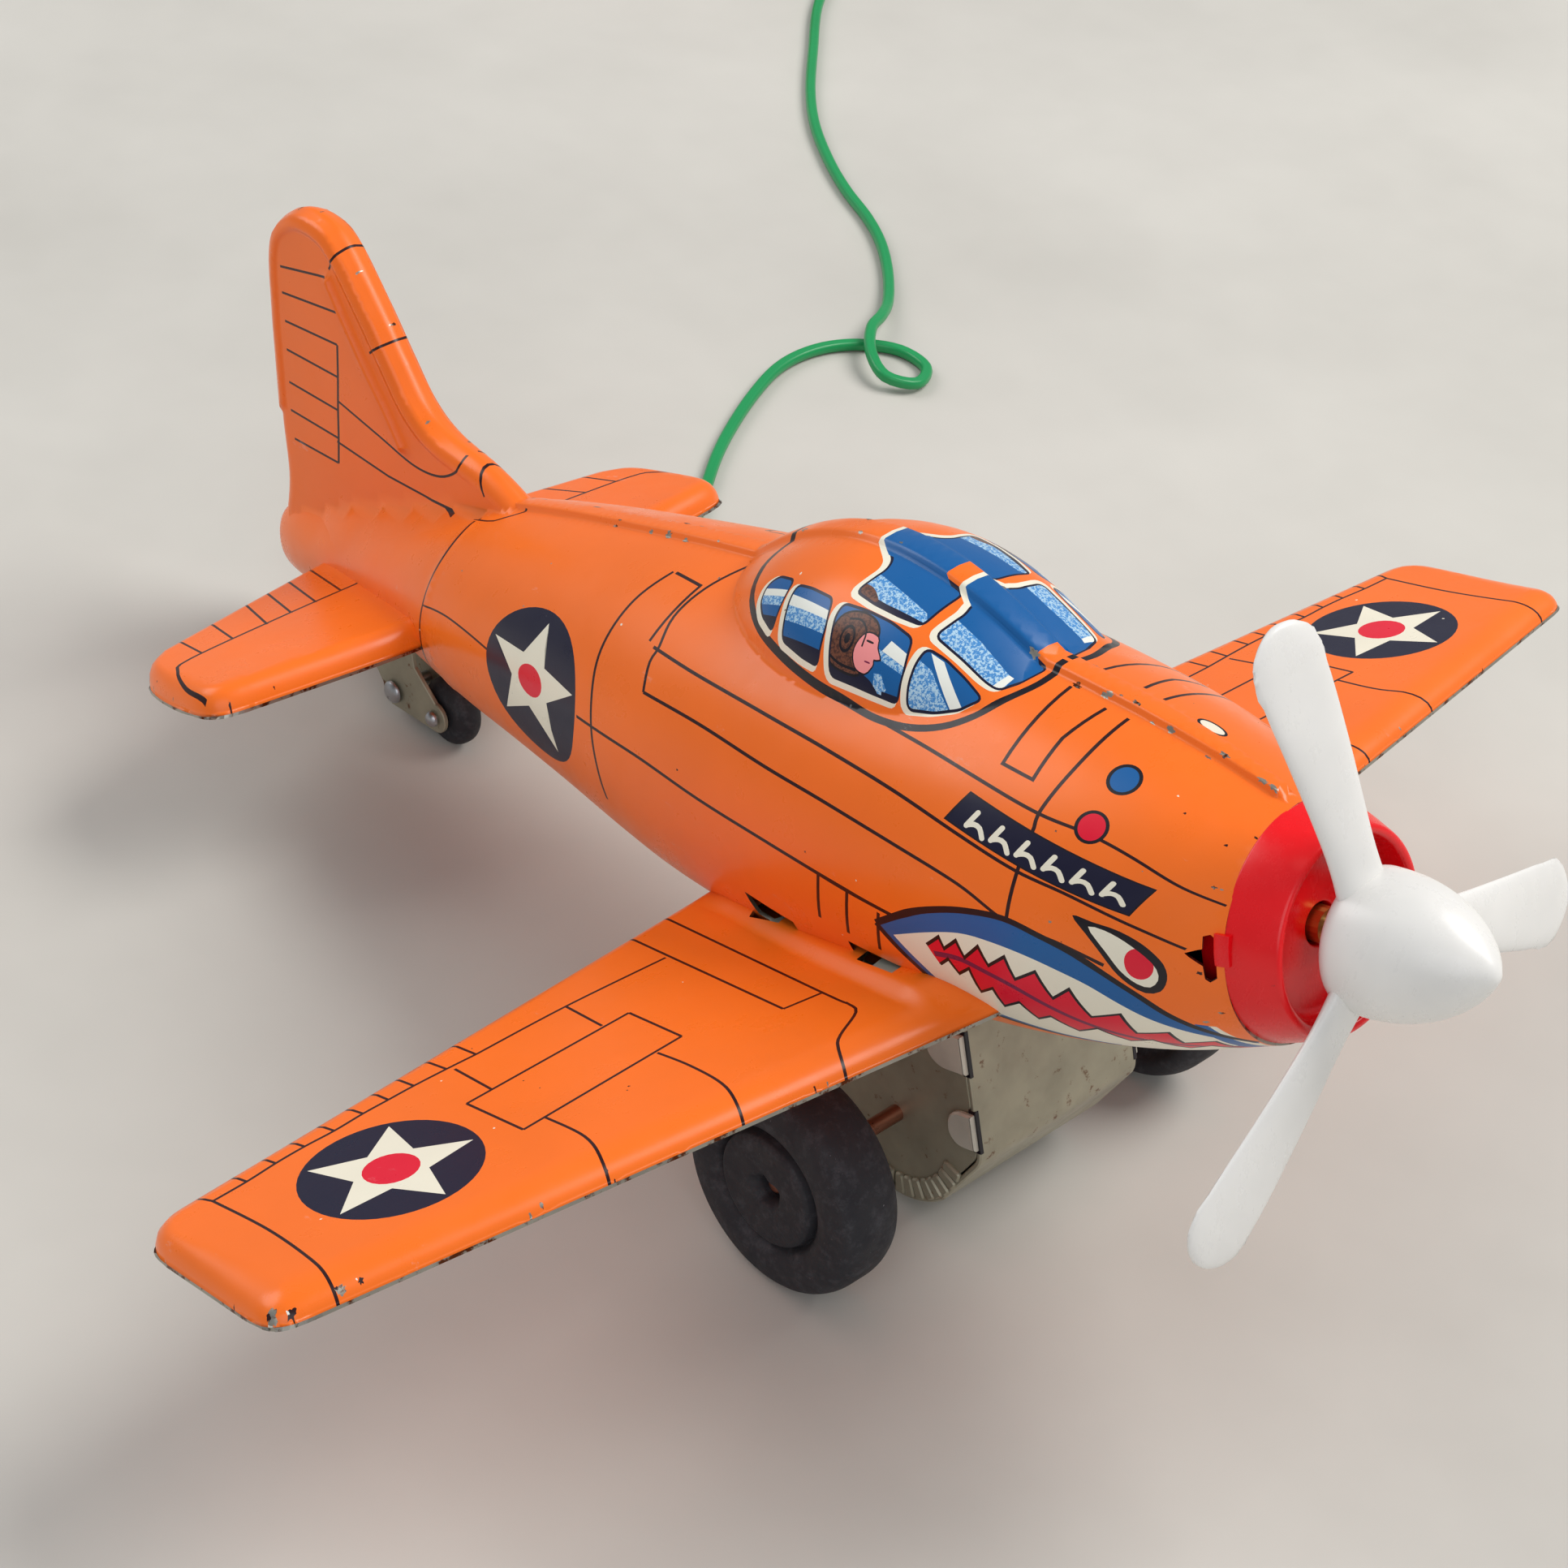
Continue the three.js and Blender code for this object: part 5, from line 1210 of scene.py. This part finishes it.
def propeller():
    hub, tip, widest = 9.0, -19.0, -2.6
    shares = np.linspace(0, 1, 22)
    nose = [(hub * spinner_radius(share), widest + (tip - widest) * share) for share in shares[:-1]]
    profile = np.vstack([[(0, 0.4), (6, 0.4)],
                         filleted([(6, 0.4), (8.3, 0.4), (9, -1.0), (9, -2.5)], 0.8, False),
                         nose, [(0.8, -18.9), (0, tip)]])
    turned("spinner", profile, "y", (0, 0, 0), "white_plastic", "propeller", ("propeller",), 96)
    stops = np.array([(4, 7.8, 3.4, -8), (9, 7.1, 2.9, -8), (13, 7.1, 2.5, -7), (18, 7.9, 2.2, -5),
                      (27, 9.6, 1.9, -3),
                      (34, 10.8, 1.7, -2), (38, 10.9, 1.6, -2)], float)
    radius_to, chord_to = 43.1, 10.9
    rows = smooth_line(stops, step=1.5)
    ends = np.radians(np.arange(8, 89, 7))
    tips = [(38 + (radius_to - 38) * math.sin(t), chord_to * max(math.cos(t), 0.08),
             1.6 * math.cos(t) ** 0.5 + 0.1, -2)
            for t in ends]
    rows = np.vstack([rows, tips])
    around = np.arange(28) / 28 * 2 * math.pi
    for k in range(3):
        random = np.random.default_rng(k)
        rings = []
        for radius, chord, thick, turn in rows:
            flash = random.uniform(0, 0.07, len(around)) * (radius > 36) * (np.abs(np.cos(around)) > 0.97)
            across = chord / 2 * np.sign(np.cos(around)) * np.abs(np.cos(around)) ** 0.85 * (1 + flash)
            up = thick / 2 * np.sin(around)
            lean = -1.5 + 3.2 * (radius / radius_to) ** 2
            t = math.radians(turn)
            rings.append(np.stack([across * math.cos(t) - up * math.sin(t),
                                   across * math.sin(t) + up * math.cos(t) + lean,
                                   np.full(len(around), radius)], axis=1))
        points, faces = ring_mesh(rings, "fan")
        spin = math.radians(-12.3 + 120 * k)
        c, s = math.cos(spin), math.sin(spin)
        turn = np.array([(c, 0, s), (0, 1, 0), (-s, 0, c)])
        solid(f"blade_{k + 1}", points @ turn.T, faces, "white_plastic", "propeller", ("propeller",), 60.0)


# ------------------------------------------------------------------ wheels, gearbox, tail wheel
AXLE_Y, AXLE_Z = 70.4, -38.9


def road_wheel(name, side):
    profile = [(1.7, 29.8), (4.2, 29.8), (5, 31), (11.8, 30.8), (13, 29.2), (15, 29.6), (16, 31.8),
               (16, 36.8), (14.9, 39),
               (11.4, 39.6), (9.4, 38.9), (8.6, 37.4), (8.2, 39.1), (7.6, 39.5), (2.6, 39.3), (2.1, 38.4),
               (1.9, 37.9), (1.7, 35.6)]
    radii = [0.2, 0.4, 0.6, 0.6, 0.8, 1, 1.4, 1.4, 1.6, 1.8, 0.7, 0.4, 0.25, 0.3, 0.5, 0.3, 0.2, 0.1]
    rows = filleted(profile, radii) * (1, side)

    def ragged(angles, radius, height):
        hole = math.exp(-((radius - 2.6) / 1.0) ** 2)
        return 0.22 * hole * (0.6 * np.sin(2 * angles + 0.7) + 0.4 * np.sin(5 * angles))

    turned(f"road_wheel_{name}", rows, "x", (0, AXLE_Y, AXLE_Z), "tyre", "road_axle", (f"wheel_{name}",), 96,
           wobble=ragged)


def road_axle():
    half = 37.6
    rows = filleted([(0, -half), (1.2, -half), (1.2, half), (0, half)], [0, 0.35, 0.35, 0], False)
    turned("axle_rod", rows, "x", (0, AXLE_Y, AXLE_Z), "copper", "road_axle", ("road_axle",), 40)


SHEET = 0.8


def arc(centre, radius, start, end, steps):
    return [(centre[0] + radius * math.cos(math.radians(a)), centre[1] + radius * math.sin(math.radians(a)))
            for a in np.linspace(start, end, steps)]


def box_path(inset, top):
    """The gearbox in the Y-Z plane from its front top edge round the bottom to its rear top edge."""
    front, rear, corner, sump = BOX_FRONT + inset, BOX_REAR - inset, 4 - inset, 13.2 - inset
    return np.array([(front, top), (front, -12), (front, -30)]
                    + arc((front + corner, AXLE_Z - 1), corner, 180, 230, 7)
                    + arc((AXLE_Y, AXLE_Z), sump, 238, 360, 34) + [(rear, -30), (rear, top)])


def gearbox():
    outside, inside_path = box_path(0, -8), box_path(SHEET, -8)
    outline = np.vstack([outside, inside_path[::-1]])
    prism("gearbox_strip", outline, -BOX_HALF, BOX_HALF, "drab_tin", replaces=("gearbox_wrap",), bevel=0.22)
    random = np.random.default_rng(3)
    for name, side in SIDES:
        low, high = sorted((side * (BOX_HALF - 0.3 - SHEET), side * (BOX_HALF - 0.3)))
        plate = box_path(SHEET + 0.3, 11)
        prism(f"cheek_{name}", plate, low, high, "drab_tin", replaces=(f"gearbox_cheek_{name}",), bevel=0.12)
        for k, (bottom, top, long) in enumerate(((-28.2, -22.4, 7.2), (-39.6, -34.2, 5.2))):
            corners = [(BOX_FRONT + 0.2, bottom), (BOX_FRONT + long * 0.7, bottom - 0.1),
                       (BOX_FRONT + long, bottom + 1.6),
                       (BOX_FRONT + long * 0.93, top - 1.2), (BOX_FRONT + long * 0.6, top),
                       (BOX_FRONT + 0.2, top)]
            low, high = sorted((side * (BOX_HALF - 0.25), side * (BOX_HALF + 0.75)))
            prism(f"tab_{name}_{k + 1}", filleted(corners, [0.2, 1.2, 1.4, 1.2, 1.2, 0.2]), low, high,
                  "drab_tin",
                  replaces=("gearbox_wrap",), bevel=0.3, material=TAB_TIN)
            # A black sheet just under each tab's root on the cheek: painted shadow of the slot the tab is
            # bent out of.
            shade = [(BOX_FRONT - 0.08, bottom - 0.5), (BOX_FRONT + 1.2, bottom - 0.5),
                     (BOX_FRONT + 1.2, top + 0.5),
                     (BOX_FRONT - 0.08, top + 0.5)]
            low, high = sorted((side * (BOX_HALF - 0.6), side * (BOX_HALF + 0.05)))
            prism(f"tab_slot_shadow_{name}_{k + 1}", shade, low, high, "drab_tin", replaces=("gearbox_wrap",),
                  bevel=0.05,
                  material=INK["black"])
        for k in range(15):
            angle = math.radians(212 + 9.2 * k + random.uniform(-1, 1))
            centre = np.array((AXLE_Y + 11.3 * math.cos(angle), AXLE_Z + 11.3 * math.sin(angle)))
            out = np.array((math.cos(angle), math.sin(angle)))
            along = np.array((-out[1], out[0]))
            tooth = [centre - out * 1.7 - along * 0.75, centre + out * 1.5 - along * 0.9,
                     centre + out * 1.5 + along * 0.9, centre - out * 1.7 + along * 0.75]
            low, high = sorted((side * (BOX_HALF - 0.5), side * (BOX_HALF + 0.28)))
            prism(f"crimp_{name}_{k + 1}", filleted(tooth, 0.6), low, high, "drab_tin",
                  replaces=(f"gearbox_cheek_{name}",), bevel=0.25)


def tail_gear():
    profile = filleted([(1.1, -2.4), (3.9, -2.4), (5.6, -1.2), (5.6, 1.2), (3.9, 2.4), (1.1, 2.4)],
                       [0.2, 0.8, 1.0, 1.0, 0.8, 0.2])
    turned("tail_tyre", profile, "x", (0, 180, -8.8), "tyre", "tail_wheel", ("tail_wheel",), 64)
    arm = ([(182, 9), (183, -1), (179.2, -6.3)] + arc((180, -8.8), 2.6, 108, 288, 12)
           + arc((189.6, -6.2), 3, -60, 17, 8) + [(199, 10)])
    for name, side in SIDES:
        low, high = sorted((side * 2.9, side * 3.7))
        prism(f"fork_{name}", arm, low, high, "drab_tin", replaces=("tail_fork",), bevel=0.15)
    web = [(184, 3.4), (198, 6.2), (198, 5.2), (184, 2.4)]
    prism("fork_web", web, -3.1, 3.1, "drab_tin", replaces=("tail_fork",), bevel=0.1)
    for name, node, y, z, radius, head in (("tail_axle_pin", "tail_axle", 180, -8.8, 0.8, 1.3),
                                           ("tail_rivet_pin", "tail_rivet", 189.6, -6.2, 1.1, 1.9)):
        dome = [(head * math.cos(t), 4.1 + 1.0 * math.sin(t)) for t in np.radians(np.linspace(0, 80, 7))]
        rows = ([(0, -5.1)] + [(r, -h) for r, h in dome[::-1]] + [(radius, -4.05),
            (radius, 4.05)] + dome + [(0, 5.1)])
        turned(name, rows, "x", (0, y, z), "steel", replaces=(node,), segments=32)


# ------------------------------------------------------------------ lead to the battery box
COIL = {"x": 245.0, "y": 256.0, "outer": 17.1, "pitch": 2.3, "turns": 4, "low": 1.2, "high": 3.5,
        "start": -70.0}
LEAD_START = ((0, 1.7, 21.4), (0, 0.4, 17.8), (0.5, -0.4, 13.6), (2, 0, 9.2), (5, 2.6, 4.8), (10, 8, 2),
              (18, 18, 1.2),
              (32, 38, 1.2), (50, 66, 1.2), (68, 87, 1.2), (81, 98, 1.2), (92, 106, 1.2), (106, 114, 1.2),
              (118, 119, 1.2), (128, 119.6, 1.2), (136, 116.5, 1.2), (141.2, 110.6, 1.2), (141, 103.4, 1.2),
              (135, 100, 1.7), (130.6, 104, 2.7), (133, 110.5, 3.7), (138.8, 116.4, 3.9), (144.5, 119.4, 3.2),
              (151, 124, 1.8), (159, 132, 1.2), (166, 141, 1.2), (171, 150, 1.2), (175.4, 161, 1.2),
              (181, 172, 1.2),
              (189, 184.6, 1.2), (199, 196.6, 1.2), (213, 210.6, 1.2), (228, 225, 1.2), (243.6, 236.3, 1.2))
LEAD_END = ((259.9, 267, 3.7), (260.1, 272, 4.3), (261.3, 277, 4.9), (262, 281, 5), (262, 288, 5))


def lead_line():
    """The lead's centreline in ground millimetres: belly, loop, flat two-layer coil, battery box."""
    rows = []
    inner = COIL["outer"] - COIL["pitch"] * COIL["turns"]
    steps = 40
    for k in range(COIL["turns"] * steps + 1):
        turns = k / steps
        rows.append((COIL["start"] + 360 * turns, COIL["outer"] - COIL["pitch"] * turns, COIL["low"]))
    for k in range(1, 10):
        rise = k / 10
        rows.append((COIL["start"] + 90 * rise, inner, COIL["low"] + (COIL["high"] - COIL["low"]) * rise))
    for k in range(COIL["turns"] * steps + 1):
        turns = k / steps
        rows.append((COIL["start"] + 90 + 360 * turns, inner + COIL["pitch"] * turns, COIL["high"]))
    coil = [(COIL["x"] + r * math.cos(math.radians(a)), COIL["y"] + r * math.sin(math.radians(a)), z) for a,
            r, z in rows]
    start = smooth_line(LEAD_START + (coil[0],), step=1.6)
    end = smooth_line((coil[-1],) + LEAD_END, step=1.4)
    return np.vstack([start[:-1], coil, end[1:]])


def make_lead():
    line = lead_line()
    lobes = [(0.45 + 0.66 * math.cos(t), 0.98 * math.sin(t)) for t in np.radians(np.linspace(-112, 112, 9))]
    shape = np.array(lobes + [(-x, -y) for x, y in lobes])
    lead = capsule_along("lead_cord", line, shape, "lead_green", "airframe",
                         ("lead", "lead_end", "lead_coil"), True)


make_lead()
nose_ring()
propeller()
road_axle()
gearbox()
tail_gear()
for side_name, side_sign in SIDES:
    road_wheel(side_name, side_sign)

# ------------------------------------------------------------------ carried-over CAD nodes
for row in frame["record"]["subparts"]:
    node = frame["nodes"][row["node"]]
    node.data.materials.clear()
    node.data.materials.append(FINISH[row["material_slot"]])
    node.data.set_sharp_from_angle(angle=math.radians(30))

# ------------------------------------------------------------------ floor and light
def area_light(name, place, target, size, power, colour=(1, 1, 1)):
    data = bpy.data.lights.new(name, "AREA")
    data.shape = "DISK"
    data.size = size
    data.energy = power
    data.color = colour
    light = bpy.data.objects.new(name, data)
    light.location = place
    light.rotation_euler = (Vector(target) - Vector(place)).to_track_quat("-Z", "Y").to_euler()
    bpy.context.scene.collection.objects.link(light)


def make_stage():
    nodes = Nodes("pale_floor")
    base, shade = linear((206, 203, 196)), linear((190, 187, 180))
    colour = nodes.mix(nodes.spread(nodes.noise(6, 5.0, 0.6), 0.35, 0.7), base, shade)
    rough = nodes.spread(nodes.noise(90), 0.3, 0.7, 0.6, 0.75)
    material = nodes.finish(colour, rough, nodes.bump(nodes.noise(420, 3.0), 0.0001, 0.15))
    mesh = bpy.data.meshes.new("floor")
    half = 4.0
    mesh.from_pydata([(-half, -half, 0), (half, -half, 0), (half, half, 0), (-half, half, 0)], [],
                     [(0, 1, 2, 3)])
    mesh.materials.append(material)
    floor = bpy.data.objects.new("floor", mesh)
    bpy.context.scene.collection.objects.link(floor)
    area_light("key", (0.62, -0.30, 0.95), (0.02, 0.02, 0.04), 0.75, 10, (1.0, 0.98, 0.95))
    area_light("fill", (-0.75, -0.75, 0.75), (0, 0, 0.04), 1.1, 4, (0.95, 0.97, 1.0))
    area_light("back", (-0.3, 0.85, 0.8), (0, 0, 0.04), 0.8, 4.5, (1.0, 0.99, 0.97))
    world = bpy.data.worlds.new("studio")
    world.use_nodes = True
    world.node_tree.nodes["Background"].inputs["Color"].default_value = (0.93, 0.96, 1.0, 1.0)
    world.node_tree.nodes["Background"].inputs["Strength"].default_value = 0.36
    bpy.context.scene.world = world


make_stage()
bpy.context.scene.view_settings.view_transform = "Standard"
